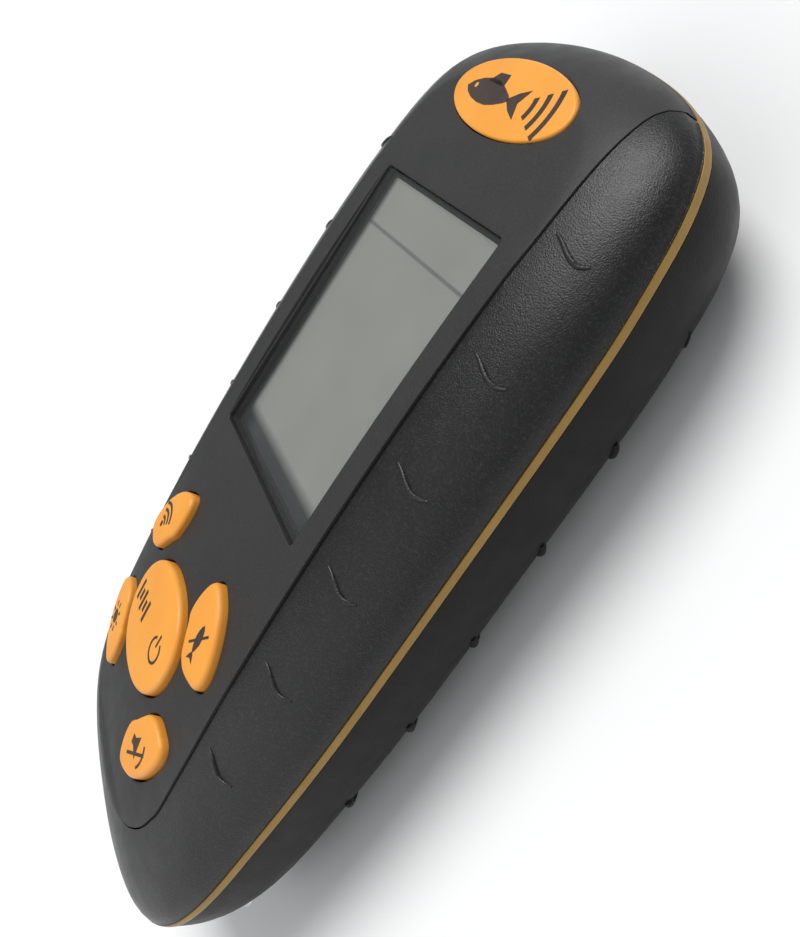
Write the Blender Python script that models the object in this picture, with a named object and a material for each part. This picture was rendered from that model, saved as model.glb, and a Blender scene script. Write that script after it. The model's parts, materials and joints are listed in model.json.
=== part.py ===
"""Hand-held fish finder: two shells with a gold band between them, display, keys, battery bay and socket.

Numbers are millimetres in a design frame: origin at the middle of the display window, +X to the right,
+Y to the top end and +Z out of the face. place() moves everything to the row frame, whose origin is the
middle of the footprint on the plane it rests on.
"""

import math

import bmesh
import bpy
import numpy as np
from mathutils import Vector

MM = 0.001

# ---- body ----
TOP_Y = 45.7
BOTTOM_Y = -82.5
MIDDLE_Y = (TOP_Y + BOTTOM_Y) / 2
HALF_LENGTH = (TOP_Y - BOTTOM_Y) / 2
HALF_WIDTH = 33.2
REST_Z = -26.9
PARTING_Z = -8.8
BAND_HEIGHT = 1.2
BAND_GAP = 0.2
BAND_PROUD = 0.12
BAND_DEPTH = 1.6
FACE_PEAK_Z = 1.15
FACE_PEAK_Y = -18.0
FACE_FALL_TOP = 1.05e-3
FACE_FALL_BOTTOM = 0.85e-3
KEYPAD_CROWN = 1.8
KEYPAD_CROWN_REACH = 22.0
GRIP_CROWN = 0.49
FRONT_SIDE_IN = 17.6
FRONT_TOP_IN = 11.0
FRONT_BOTTOM_IN = 17.0
FRONT_LAST_ANGLE = math.radians(66.5)
BACK_SIDE_IN = 16.0
BACK_TOP_IN = 11.0
BACK_BOTTOM_IN = 16.0
GRIP_THICK = 1.5
GRIP_GAP = 0.25
FRONT_SKIN = 3.3
BACK_WALL = 2.2
FRONT_BASE_Z = PARTING_Z + BAND_HEIGHT / 2 + BAND_GAP
BACK_TOP_Z = PARTING_Z - BAND_HEIGHT / 2 - BAND_GAP
SAMPLES = 30
FRONT_STEPS = 6
BACK_STEPS = 7
RING_STEP = 0.02
OUTER_Z = 12.0
BEYOND = 40.0
FAR_Y = 90.0
CAP_SHARES = (0.66, 0.33, 0.0, -0.33, -0.66)

# Right half of the outline at the parting line, from the top end to the bottom end.
OUTLINE = (
    (0.0, TOP_Y),
    (11.0, 44.9),
    (20.8, 42.8),
    (27.4, 39.2),
    (30.6, 33.6),
    (32.2, 25.5),
    (33.1, 14.0),
    (HALF_WIDTH, -12.0),
    (33.0, -36.0),
    (31.8, -54.0),
    (30.3, -66.6),
    (27.2, -74.6),
    (21.4, -79.4),
    (11.5, -81.9),
    (0.0, BOTTOM_Y),
)

# Right half of the edge between face plate and grip, from outside the top end down to the bottom middle.
PLATE_EDGE = (
    (36.0, 39.5),
    (27.0, 40.9),
    (24.3, 41.4),
    (22.9, 41.6),
    (22.1, 40.8),
    (21.8, 39.4),
    (21.95, 36.5),
    (22.1, 31.0),
    (22.2, 24.0),
    (22.0, 14.0),
    (22.0, -20.0),
    (21.9, -55.0),
    (20.9, -63.2),
    (17.9, -67.9),
    (12.6, -71.2),
    (6.5, -73.1),
    (0.0, -73.6),
)
PLATE_BEYOND_Y = 60.0
GROOVE = 0.35

# ---- ridges on the flanks ----
FRONT_RIDGE_FIRST_Y = 24.0
BACK_RIDGE_FIRST_Y = 23.4
RIDGE_PITCH = 14.4
RIDGE_COUNT = 6
RIDGE_LENGTH = 4.9
RIDGE_WAVE = 0.8
RIDGE_TURNS = 0.65
RIDGE_PHASE = 0.3
RIDGE_RADIUS = 0.34
BACK_RIDGE_RADIUS = 0.7
FIRST_BACK_RIDGE_RADIUS = 0.2
FRONT_RIDGE_IN = 5.8
BACK_RIDGE_ANGLE = math.radians(46.0)
FRONT_FLANK_BEND = 13.0
BACK_FLANK_BEND = 16.0
FRONT_RIDGE_SINK = 0.05
BACK_RIDGE_SINK = 0.1
RIDGE_POINTS = 7
RIDGE_SIDES = 5
RIDGE_TIP = 0.08

# ---- display ----
WINDOW_HALF_X = 17.3
WINDOW_HALF_Y = 21.5
LENS_TOP_Z = -0.8
LENS_TILT = 0.03
LENS_THICK = 1.0
LEDGE_DROP = 0.55
LEDGE_WIDTH = 0.6
PAD_BOTTOM_Z = -4.3
PAD_TOP_Z = -1.4
PAD_MARGIN = 2.6
LENS_CLEAR = 0.2
LENS_CHAMFER = 0.2
TAPE_GAP = 0.12
TAPE_WIDTH = 0.45
GASKET_WIDTH = 1.4
GLASS_HALF_X = 16.45
GLASS_HALF_Y = 20.65
CELL_HALF_X = 18.4
CELL_HALF_Y = 22.6
CELL_LOW_Z = -7.2
CELL_HIGH_Z = -5.2
GUIDE_LOW_Z = -9.4
GUIDE_HIGH_Z = -7.4
TRAY_HALF_X = 19.9
TRAY_HALF_Y = 24.1
TRAY_WALL = 1.2
TRAY_LOW_Z = -10.6
TRAY_HIGH_Z = -5.3
TRAY_FLOOR_Z = -9.6

# ---- badge ----
BADGE_Y = 35.4
BADGE_HALF_X = 14.2
BADGE_HALF_Y = 5.1
BADGE_PROUD = 0.35
BADGE_FALL = -0.112
BADGE_CLEAR = 0.3
BADGE_SEAT_Z = -2.9
BADGE_BOTTOM_Z = -2.65
BADGE_BEVEL = 0.3
BADGE_SIDES = 40

# ---- keys ----
KEYS_Y = -48.4
CENTRE_HALF_X = 10.7
CENTRE_HALF_Y = 8.2
KEY_PROUD = 1.15
KEY_CLEAR = 0.3
KEY_FLOOR_Z = -2.4
FLANGE_TOP_Z = -2.65
FLANGE_THICK = 0.8
FLANGE_EXTRA = 0.55
STEM_RADIUS = 2.2
STEM_BOTTOM_Z = -5.3
MAT_TOP_Z = -4.25
MAT_THICK = 0.6
DOME_TOP_Z = -6.05
KEY_BOARD_Z = -6.7
KEY_BOARD_THICK = 1.2
KEY_BOARD_HALF_X = 25.0
KEY_BOARD_LOW_Y = -66.0
KEY_BOARD_HIGH_Y = -30.4
MAT_HALF_X = 20.4
MAT_HIGH_Y = -31.4
KEY_FLOOR_HALF_X = 21.0
KEY_FLOOR_LOW_Y = -66.5
KEY_FLOOR_HIGH_Y = -31.0
DOME_GAP = 0.12
KEY_SQUARENESS = 2.15

# Corner key seen from the middle of the keypad, for the quarter with positive x and y.
CORNER_KEY = (
    (10.2, 15.2),
    (13.5, 14.0),
    (15.8, 12.0),
    (17.6, 9.3),
    (18.5, 6.4),
    (17.9, 4.5),
    (16.0, 3.9),
    (13.7, 3.8),
    (11.8, 4.6),
    (10.5, 6.1),
    (9.2, 7.9),
    (8.1, 9.3),
    (7.9, 11.9),
    (8.6, 14.4),
)
UPPER_KEYS_DROP = 0.2
LOWER_KEYS_DROP = 1.1
LEFT_KEYS_OUT = 0.55
LEFT_KEYS_UP = 0.75
CORNER_STEM_X = 13.4
UPPER_STEM_Y = KEYS_Y + 9.3
LOWER_STEM_Y = KEYS_Y - 10.6

# ---- battery bay ----
CELL_RADIUS = 5.2
CELL_LENGTH = 43.5
CELL_PITCH = 10.7
NUB_RADIUS = 1.9
NUB_LENGTH = 1.0
BAY_HALF_X = 21.6
BAY_TOP_Y = -14.0
BAY_BOTTOM_Y = -66.0
BAY_ROOF_Z = -13.6
CELL_Z = -19.3
DOOR_INNER_Z = -25.0
DOOR_GAP = 0.3
DOOR_END_Z = -22.4
RAIL_OUT = 0.95
RAIL_TOP_Z = -23.6
RAIL_BOTTOM_Z = -24.6
RAIL_CLEAR = 0.25
BAY_WALL = 2.0
BAY_END_WALL = 1.5
BAY_ROOF_THICK = 1.2
DOOR_WEB = 1.1
THUMB_GROOVES = 5
THUMB_FIRST = 5.0
THUMB_PITCH = 2.2
THUMB_HALF_X = 8.0
THUMB_HALF_Y = 0.6
THUMB_DEEP = 0.6
CONTACT_THICK = 0.5
CONTACT_HALF_X = 4.2
CONTACT_BELOW = 4.0
CONTACT_ABOVE = 4.6
CELL_GAP = 0.2
CELL_ROUND = 0.4
SPRING_TURNS = 3.5
SPRING_STEPS = 9
SPRING_SIDES = 4
SPRING_WIRE = 0.34
SPRING_WIDE = 3.7
SPRING_NARROW = 2.2

# ---- boards and screws ----
MAIN_BOARD_Z = -11.5
MAIN_BOARD_THICK = 1.6
BOARD_POSTS = ((17.5, 33.4, -4.4), (-22.2, -8.5, -2.6))
KEY_POST_X = 22.8
KEY_POST_RADIUS = 1.9
KEY_POST_TOP_Z = -3.5
KEY_POST_HOLE = 0.85
KEY_POST_HOLE_Z = -4.4
BOARD_POST_RADIUS = 2.3
BOARD_POST_HOLE = 0.95
BOARD_POST_HOLE_Z = -5.6
POST_GAP = 0.25
RIBBON_THICK = 0.3
CASE_SCREWS = ((24.6, 31.0), (-24.6, 31.0), (24.8, -70.0), (-24.8, -70.0))
CASE_POST_RADIUS = 2.4
CASE_POST_LOW_Z = -14.8
CASE_POST_HIGH_Z = -5.0
CASE_POST_HOLE = 1.05
CASE_POST_HOLE_Z = -6.2
CASE_SEAT_RADIUS = 3.4
CASE_SHANK_HOLE = 1.3
CASE_HEAD_HOLE = 2.3
CASE_SCREW_TALL = 2.05
PART_GAP = 0.15
SCREW_HEAD_Z = -16.9

# ---- socket in the top end ----
SOCKET_Z = -16.6
SOCKET_SEAT_Y = 41.0
SOCKET_BOSS_Y = 37.5
SOCKET_BOSS_RADIUS = 7.0
SOCKET_FLANGE_RADIUS = 5.0
SOCKET_BODY_RADIUS = 4.1
SOCKET_BORE_RADIUS = 3.2
SOCKET_BACK_Y = 34.4
SOCKET_STEP = 7.6
SOCKET_LONG = 8.8
SOCKET_FLOOR = 1.6
SOCKET_NUT_RADIUS = 5.7
PIN_X = 1.2
PIN_LONG = 3.0
PIN_RADIUS = 0.45
PIN_HOLE = 0.65

# ---- colours ----
CHARCOAL = (0.045, 0.045, 0.045)
SOFT_BLACK = (0.022, 0.024, 0.027)
BACK_BLACK = (0.018, 0.018, 0.020)
ORANGE = (0.95, 0.37, 0.06)
GOLD = (0.42, 0.26, 0.08)
LCD_GREY = (0.30, 0.32, 0.28)
BOARD_GREEN = (0.02, 0.16, 0.07)
STEEL = (0.62, 0.62, 0.64)
BRASS = (0.72, 0.52, 0.22)
CELL_SLEEVE = (0.08, 0.18, 0.42)
PALE = (0.80, 0.80, 0.78)


def clear_scene():
    for old in list(bpy.data.objects):
        bpy.data.objects.remove(old, do_unlink=True)


def material(name, colour, roughness, metallic=0.0, alpha=1.0):
    made = bpy.data.materials.new(name)
    made.use_nodes = True
    shader = made.node_tree.nodes["Principled BSDF"]
    shader.inputs["Base Color"].default_value = (*colour, 1.0)
    shader.inputs["Roughness"].default_value = roughness
    shader.inputs["Metallic"].default_value = metallic
    shader.inputs["Alpha"].default_value = alpha
    return made


def place(x, y, z):
    return Vector((x, y - MIDDLE_Y, z - REST_Z)) * MM


def new_object(name, points, faces, origin=(0.0, MIDDLE_Y, REST_Z)):
    """A mesh object from design-frame points, with its origin at the given design-frame point."""
    home = place(*origin)
    mesh = bpy.data.meshes.new(name)
    mesh.from_pydata([place(*p) - home for p in points], [], faces)
    body = bmesh.new()
    body.from_mesh(mesh)
    bmesh.ops.recalc_face_normals(body, faces=body.faces)
    body.to_mesh(mesh)
    body.free()
    made = bpy.data.objects.new(name, mesh)
    made.location = home
    bpy.context.scene.collection.objects.link(made)
    return made


def finish(made, look):
    made.data.materials.clear()
    made.data.materials.append(look)
    return made


def combine(target, other, operation):
    """Runs an exact Boolean on target and removes the other object."""
    step = target.modifiers.new("step", "BOOLEAN")
    step.operation = operation
    step.solver = "EXACT"
    step.object = other
    bpy.context.view_layer.update()
    graph = bpy.context.evaluated_depsgraph_get()
    mesh = bpy.data.meshes.new_from_object(target.evaluated_get(graph))
    target.modifiers.remove(step)
    target.data = mesh
    bpy.data.objects.remove(other, do_unlink=True)
    return target


def cut(target, other):
    return combine(target, other, "DIFFERENCE")


def join(target, other):
    return combine(target, other, "UNION")


def keep(target, other):
    return combine(target, other, "INTERSECT")


def spline(points, per_span):
    """Catmull-Rom through the points, ends mirrored so that a half outline meets its twin smoothly."""
    first = (-points[1][0] + 2 * points[0][0], points[1][1])
    last = (-points[-2][0] + 2 * points[-1][0], points[-2][1])
    chain = [first, *points, last]
    found = []
    for k in range(1, len(chain) - 2):
        p0, p1, p2, p3 = (np.array(chain[k + d]) for d in (-1, 0, 1, 2))
        for t in np.arange(per_span) / per_span:
            found.append(
                0.5 * (2 * p1 + (p2 - p0) * t + (2 * p0 - 5 * p1 + 4 * p2 - p3) * t**2
                       + (3 * p1 - p0 - 3 * p2 + p3) * t**3)
            )
    found.append(np.array(points[-1]))
    return found


def closed_spline(points, per_span):
    count = len(points)
    found = []
    for k in range(count):
        p0, p1, p2, p3 = (np.array(points[(k + d) % count]) for d in (-1, 0, 1, 2))
        for t in np.arange(per_span) / per_span:
            found.append(
                0.5 * (2 * p1 + (p2 - p0) * t + (2 * p0 - 5 * p1 + 4 * p2 - p3) * t**2
                       + (3 * p1 - p0 - 3 * p2 + p3) * t**3)
            )
    return found


def even(points, count):
    """The same line with evenly spaced points."""
    chain = np.array(points)
    steps = np.hypot(*np.diff(chain, axis=0).T)
    along = np.concatenate([[0.0], np.cumsum(steps)])
    wanted = np.linspace(0.0, along[-1], count)
    return np.stack([np.interp(wanted, along, chain[:, 0]), np.interp(wanted, along, chain[:, 1])], 1)


def face_z(y):
    fall = FACE_FALL_TOP if y > FACE_PEAK_Y else FACE_FALL_BOTTOM
    return FACE_PEAK_Z - fall * (y - FACE_PEAK_Y) ** 2


def crowned_z(x, y):
    """The face plate's surface, with the keypad's slight crown."""
    across = max(1 - (x / KEYPAD_CROWN_REACH) ** 2, 0.0)
    along = max(1 - ((y - KEYS_Y) / KEYPAD_CROWN_REACH) ** 2, 0.0)
    return face_z(y) + KEYPAD_CROWN * across * along


def offset(points, amount):
    """A closed counter-clockwise line moved outwards by amount."""
    chain = np.array(points)
    along = np.roll(chain, -1, axis=0) - np.roll(chain, 1, axis=0)
    along /= np.linalg.norm(along, axis=1)[:, None]
    return chain + amount * np.stack([along[:, 1], -along[:, 0]], 1)


def half_outline():
    return even(spline(OUTLINE, 8), SAMPLES)


def shrunk(half, side, top, bottom):
    """The half outline pulled in by these amounts at the side, the top end and the bottom end."""
    found = []
    for x, y in half:
        end = top if y > MIDDLE_Y else bottom
        found.append((
            x * (1 - side / HALF_WIDTH),
            MIDDLE_Y + (y - MIDDLE_Y) * (1 - end / HALF_LENGTH),
        ))
    return found


def dome(name, base_z, side, top, bottom, angles, height, skin=0.0, cap=None):
    """A closed solid of stacked outlines from base_z, each pulled in as on an ellipse.

    height(y, angle) gives the surface's z. The last ring is capped by rungs from side to side, and
    cap(x, y), if given, is the z of extra points along each rung.
    """
    half = half_outline()
    rings = []
    for angle in angles:
        turn = 1 - math.cos(angle)
        ring = shrunk(half, skin + side * turn, skin + top * turn, skin + bottom * turn)
        points = [(x, y, height(y, angle) if rings else base_z) for x, y in ring]
        points += [(-x, y, z) for x, y, z in reversed(points[1:-1])]
        rings.append(points)
    count = len(rings[0])
    points = [p for ring in rings for p in ring]
    faces = []
    for k in range(len(rings) - 1):
        for i in range(count):
            j = (i + 1) % count
            faces.append((k * count + i, k * count + j, (k + 1) * count + j, (k + 1) * count + i))
    for start in (0, (len(rings) - 1) * count):
        shares = CAP_SHARES if cap and start else ()
        previous = [start]
        for i in range(1, SAMPLES):
            one, two = start + i, start + (count - i) % count
            rung = [one]
            for share in shares if i < SAMPLES - 1 else ():
                x, y, _ = points[one]
                rung.append(len(points))
                points.append((x * share, y, cap(x * share, y)))
            if i < SAMPLES - 1:
                rung.append(two)
            faces += strip(previous, rung)
            previous = rung
    return new_object(name, points, faces)


def strip(one, two):
    """The faces between two rows of points, where either row may be a single point."""
    if len(one) == 1:
        return [(one[0], two[k], two[k + 1]) for k in range(len(two) - 1)]
    if len(two) == 1:
        return [(one[k], two[0], one[k + 1]) for k in range(len(one) - 1)]
    return [(one[k], two[k], two[k + 1], one[k + 1]) for k in range(len(one) - 1)]


def front_angles():
    return [FRONT_LAST_ANGLE * k / FRONT_STEPS for k in range(FRONT_STEPS + 1)]


def grip_surface(drop):
    def height(y, angle):
        return PARTING_Z + (face_z(y) + GRIP_CROWN - drop - PARTING_Z) * math.sin(angle)
    return height


def front_dome(name, skin, base_z):
    """The grip's surface family, moved in by skin."""
    def height(y, angle):
        return max(grip_surface(skin)(y, angle), base_z + RING_STEP * (1 + angle))
    return dome(
        name, base_z, FRONT_SIDE_IN - skin, FRONT_TOP_IN - skin * 0.5, FRONT_BOTTOM_IN - skin,
        front_angles(), height, skin
    )


def plate_dome(name, base_z):
    """The face plate's surface: level across, rolled over at the ends."""
    def height(y, angle):
        rise = math.sin(angle) / math.sin(FRONT_LAST_ANGLE)
        return max(PARTING_Z + (face_z(y) - PARTING_Z) * rise, base_z + RING_STEP * (1 + angle))
    return dome(
        name, base_z, FRONT_SIDE_IN, FRONT_TOP_IN, FRONT_BOTTOM_IN, front_angles(), height,
        cap=crowned_z
    )


def back_dome(name, skin, top_z):
    """The back shell's surface, moved in by skin and turned to open upwards."""
    depth = PARTING_Z - REST_Z - skin

    def height(y, angle):
        return min(PARTING_Z - depth * math.sin(angle), top_z - RING_STEP * (1 + angle))
    angles = [math.pi / 2 * k / BACK_STEPS for k in range(BACK_STEPS + 1)]
    return dome(
        name, top_z, BACK_SIDE_IN - skin, BACK_TOP_IN - skin * 0.5, BACK_BOTTOM_IN - skin,
        angles, height, skin
    )


def plate_outline(grow=0.0):
    right = [tuple(p) for p in even(spline(PLATE_EDGE, 6), 40)]
    left = [(-x, y) for x, y in reversed(right[:-1])]
    chain = [(left[-1][0], PLATE_BEYOND_Y), (right[0][0], PLATE_BEYOND_Y)]
    chain = [*right, *left, *chain]
    chain = chain[::-1]
    return offset(chain, grow) if grow else np.array(chain)


def prism(name, outline, low, high, origin=(0.0, MIDDLE_Y, REST_Z)):
    count = len(outline)
    points = [(x, y, low) for x, y in outline] + [(x, y, high) for x, y in outline]
    faces = [tuple(range(count))[::-1], tuple(range(count, 2 * count))]
    faces += [(i, (i + 1) % count, count + (i + 1) % count, count + i) for i in range(count)]
    return new_object(name, points, faces, origin)


def box(name, low, high, origin=(0.0, MIDDLE_Y, REST_Z)):
    outline = [(low[0], low[1]), (high[0], low[1]), (high[0], high[1]), (low[0], high[1])]
    return prism(name, outline, low[2], high[2], origin)


def rectangle(half_x, half_y):
    return [(-half_x, -half_y), (half_x, -half_y), (half_x, half_y), (-half_x, half_y)]


def circle(radius, count, centre=(0.0, 0.0)):
    turns = [2 * math.pi * (k + 0.5) / count for k in range(count)]
    return [(centre[0] + radius * math.cos(t), centre[1] + radius * math.sin(t)) for t in turns]


def post(name, centre, radius, low, high, count=20, origin=(0.0, MIDDLE_Y, REST_Z)):
    return prism(name, circle(radius, count, centre), low, high, origin)


def lathe(name, profile, along, start, count=24):
    """A turned solid: profile is (radius, distance) pairs from one end to the other, closed on the axis."""
    axis = Vector(along)
    side = Vector((0.0, 0.0, 1.0)) if abs(axis.z) < 0.5 else Vector((1.0, 0.0, 0.0))
    up = axis.cross(side)
    rings = []
    points = []
    for radius, far in profile:
        centre = Vector(start) + axis * far
        ring = []
        if radius == 0:
            ring = [len(points)] * count
            points.append(centre)
        else:
            for k in range(count):
                turn = 2 * math.pi * k / count
                ring.append(len(points))
                points.append(centre + radius * (math.cos(turn) * side + math.sin(turn) * up))
        rings.append(ring)
    faces = []
    for one, two in zip(rings, rings[1:]):
        for k in range(count):
            j = (k + 1) % count
            corners = []
            for corner in (one[k], one[j], two[j], two[k]):
                if corner not in corners:
                    corners.append(corner)
            if len(corners) > 2:
                faces.append(corners)
    return new_object(name, [tuple(p) for p in points], faces)


def tube_along(name, path, radius, sides):
    """A solid swept along a path of points, tapered to small ends."""
    path = [Vector(p) for p in path]
    last = len(path) - 1
    points = []
    for k, centre in enumerate(path):
        ahead = (path[min(k + 1, last)] - path[max(k - 1, 0)]).normalized()
        side = ahead.cross(Vector((0.0, 0.0, 1.0))).normalized()
        up = side.cross(ahead)
        share = math.sin(math.pi * (RIDGE_TIP + (1 - 2 * RIDGE_TIP) * k / last)) ** 0.5
        for s in range(sides):
            turn = 2 * math.pi * s / sides
            points.append(centre + radius * share * (math.cos(turn) * side + math.sin(turn) * up))
    faces = [tuple(range(sides))[::-1], tuple(range(last * sides, (last + 1) * sides))]
    for k in range(last):
        for s in range(sides):
            t = (s + 1) % sides
            faces.append((k * sides + s, k * sides + t, (k + 1) * sides + t, (k + 1) * sides + s))
    return new_object(name, [tuple(p) for p in points], faces)


def side_x(y):
    half = half_outline()[::-1]
    return float(np.interp(y, half[:, 1], half[:, 0]))


def ridge_path(side, y, surface):
    """A wave that runs out across the flank; surface(along, y) gives the point on the shell."""
    path = []
    for k in range(RIDGE_POINTS):
        t = k / (RIDGE_POINTS - 1) - 0.5
        wave = RIDGE_WAVE * math.sin(2 * math.pi * (RIDGE_TURNS * (t + 0.5) + RIDGE_PHASE))
        path.append(surface(t * RIDGE_LENGTH, y + wave))
    return [(side * p[0], p[1], p[2]) for p in path]


def front_flank(along, y):
    """A point on the grip's surface, along mm across the flank from the ridges' middle."""
    middle = math.acos(1 - FRONT_RIDGE_IN / FRONT_SIDE_IN)
    angle = middle - along / FRONT_FLANK_BEND
    x = side_x(y) - FRONT_SIDE_IN * (1 - math.cos(angle))
    return (x, y, grip_surface(0.0)(y, angle) - FRONT_RIDGE_SINK)


def back_flank(along, y):
    """A point on the back shell's surface, along mm round the flank from the ridges' middle."""
    angle = BACK_RIDGE_ANGLE + along / BACK_FLANK_BEND
    x = side_x(y) - BACK_SIDE_IN * (1 - math.cos(angle))
    return (x, y, PARTING_Z - (PARTING_Z - REST_Z) * math.sin(angle) + BACK_RIDGE_SINK)


def add_ridges(target, surface, first_y, radius, first_radius):
    """The ridges of one shell; the first, at the top end, has its own radius."""
    for side in (-1, 1):
        for k in range(RIDGE_COUNT):
            path = ridge_path(side, first_y - k * RIDGE_PITCH, surface)
            join(target, tube_along("ridge", path, radius if k else first_radius, RIDGE_SIDES))


def lens_z(y):
    """The lens leans a little, so that it stays just under the domed face from end to end."""
    return LENS_TOP_Z + LENS_TILT * (WINDOW_HALF_Y - y)


def leaning(name, half_x, half_y, low, high_drop):
    """A block from the flat z low up to a level high_drop under the leaning lens face."""
    outline = rectangle(half_x, half_y)
    return stacked(name, ((outline, low), (outline, lambda x, y: lens_z(y) - high_drop)))


def badge_z(y):
    return face_z(BADGE_Y) + BADGE_FALL * (y - BADGE_Y)


def ellipse(half_x, half_y, centre_y, count, power=2.0):
    found = []
    for k in range(count):
        turn = 2 * math.pi * (k + 0.5) / count
        c, s = math.cos(turn), math.sin(turn)
        found.append((
            half_x * math.copysign(abs(c) ** (2 / power), c),
            centre_y + half_y * math.copysign(abs(s) ** (2 / power), s),
        ))
    return found


def key_outline(side_x_sign, side_y_sign, per_span=2):
    middle_y = KEYS_Y - (UPPER_KEYS_DROP if side_y_sign > 0 else LOWER_KEYS_DROP)
    out = 0.0
    if side_x_sign < 0:
        middle_y += LEFT_KEYS_UP
        out = LEFT_KEYS_OUT
    points = [
        (side_x_sign * (x + out), middle_y + side_y_sign * y) for x, y in closed_spline(CORNER_KEY, per_span)]
    if side_x_sign * side_y_sign > 0:
        points.reverse()
    return points


KEYS = {
    "centre": ((0.0, KEYS_Y), ellipse(CENTRE_HALF_X, CENTRE_HALF_Y, KEYS_Y, 32, KEY_SQUARENESS)),
    "sonar": ((-CORNER_STEM_X, UPPER_STEM_Y), key_outline(-1, 1)),
    "fish": ((CORNER_STEM_X, UPPER_STEM_Y), key_outline(1, 1)),
    "light": ((-CORNER_STEM_X, LOWER_STEM_Y), key_outline(-1, -1)),
    "sound": ((CORNER_STEM_X, LOWER_STEM_Y), key_outline(1, -1)),
}


def stacked(name, layers, origin=(0.0, MIDDLE_Y, REST_Z), peak=None):
    """A closed solid from equal-count outlines stacked upwards: layers are (outline, z or z function).

    The top is one face, or a fan to the peak if one is given.
    """
    points = []
    count = len(layers[0][0])
    for outline, level in layers:
        for x, y in outline:
            points.append((x, y, level(x, y) if callable(level) else level))
    faces = [tuple(range(count))[::-1]]
    last = (len(layers) - 1) * count
    if peak:
        faces += [(last + i, last + (i + 1) % count, len(points)) for i in range(count)]
        points.append(peak)
    else:
        faces.append(tuple(range(last, last + count)))
    for k in range(len(layers) - 1):
        for i in range(count):
            j = (i + 1) % count
            faces.append((k * count + i, k * count + j, (k + 1) * count + j, (k + 1) * count + i))
    return new_object(name, points, faces, origin)


def build_front(looks):
    inner = front_dome("inner", FRONT_SKIN, FRONT_BASE_Z - 3.0)
    housing = front_dome("front_housing", GRIP_THICK + GRIP_GAP, FRONT_BASE_Z)
    plate = plate_dome("plate", FRONT_BASE_Z)
    keep(plate, prism("plate_area", plate_outline(), FRONT_BASE_Z - 5.0, OUTER_Z))
    join(housing, plate)
    floor = box(
        "key_floor", (-KEY_FLOOR_HALF_X, KEY_FLOOR_LOW_Y, FRONT_BASE_Z - 4.0),
        (KEY_FLOOR_HALF_X, KEY_FLOOR_HIGH_Y, KEY_FLOOR_Z))
    cut(housing, join(inner, floor))
    pad_x, pad_y = WINDOW_HALF_X + PAD_MARGIN, WINDOW_HALF_Y + PAD_MARGIN
    pad = box("pad", (-pad_x, -pad_y, PAD_BOTTOM_Z), (pad_x, pad_y, PAD_TOP_Z))
    join(housing, pad)
    for x, y, top in BOARD_POSTS:
        join(housing, post("board_post", (x, y), BOARD_POST_RADIUS, MAIN_BOARD_Z + POST_GAP, top))
        cut(housing, post("hole", (x, y), BOARD_POST_HOLE, MAIN_BOARD_Z - 2.0, BOARD_POST_HOLE_Z, 12))
    for x in (-KEY_POST_X, KEY_POST_X):
        join(housing, post("key_post", (x, KEYS_Y), KEY_POST_RADIUS, KEY_BOARD_Z + POST_GAP, KEY_POST_TOP_Z))
        cut(housing, post("hole", (x, KEYS_Y), KEY_POST_HOLE, KEY_BOARD_Z - 2.0, KEY_POST_HOLE_Z, 12))
    for x, y in CASE_SCREWS:
        boss = post("screw_post", (x, y), CASE_POST_RADIUS, CASE_POST_LOW_Z, CASE_POST_HIGH_Z)
        limit = front_dome("limit", GRIP_THICK + GRIP_GAP + POST_GAP, CASE_POST_LOW_Z - 1.0)
        join(housing, keep(boss, limit))
        cut(housing, post("hole", (x, y), CASE_POST_HOLE, CASE_POST_LOW_Z - 3.0, CASE_POST_HOLE_Z, 14))
    well = rectangle(WINDOW_HALF_X, WINDOW_HALF_Y)
    ledge_drop = LENS_THICK + LEDGE_DROP
    cut(housing, stacked("window", ((well, lambda x, y: lens_z(y) - ledge_drop), (well, OUTER_Z))))
    open_x, open_y = WINDOW_HALF_X - LEDGE_WIDTH, WINDOW_HALF_Y - LEDGE_WIDTH
    cut(housing, box("opening", (-open_x, -open_y, -8.0), (open_x, open_y, OUTER_Z)))
    seat = ellipse(BADGE_HALF_X + BADGE_CLEAR, BADGE_HALF_Y + BADGE_CLEAR, BADGE_Y, BADGE_SIDES)
    cut(housing, prism("badge_seat", seat, BADGE_SEAT_Z, OUTER_Z))
    for _, outline in KEYS.values():
        cut(housing, prism("key_hole", offset(outline, KEY_CLEAR), -8.0, OUTER_Z))
    finish(housing, looks["plate"])

    grip = front_dome("grip_overmould", 0.0, FRONT_BASE_Z + 0.1)
    cut(grip, front_dome("inside", GRIP_THICK, FRONT_BASE_Z - 2.0))
    add_ridges(grip, front_flank, FRONT_RIDGE_FIRST_Y, RIDGE_RADIUS, RIDGE_RADIUS)
    cut(grip, prism("plate_area", plate_outline(GROOVE), FRONT_BASE_Z - 5.0, OUTER_Z))
    finish(grip, looks["grip"])

    rim = ellipse(BADGE_HALF_X, BADGE_HALF_Y, BADGE_Y, BADGE_SIDES)
    face = ellipse(BADGE_HALF_X - BADGE_BEVEL, BADGE_HALF_Y - BADGE_BEVEL, BADGE_Y, BADGE_SIDES)
    badge = stacked("name_badge", (
        (rim, BADGE_BOTTOM_Z),
        (rim, lambda x, y: badge_z(y) + BADGE_PROUD - BADGE_BEVEL),
        (face, lambda x, y: badge_z(y) + BADGE_PROUD),
    ))
    finish(badge, looks["orange"])


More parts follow.
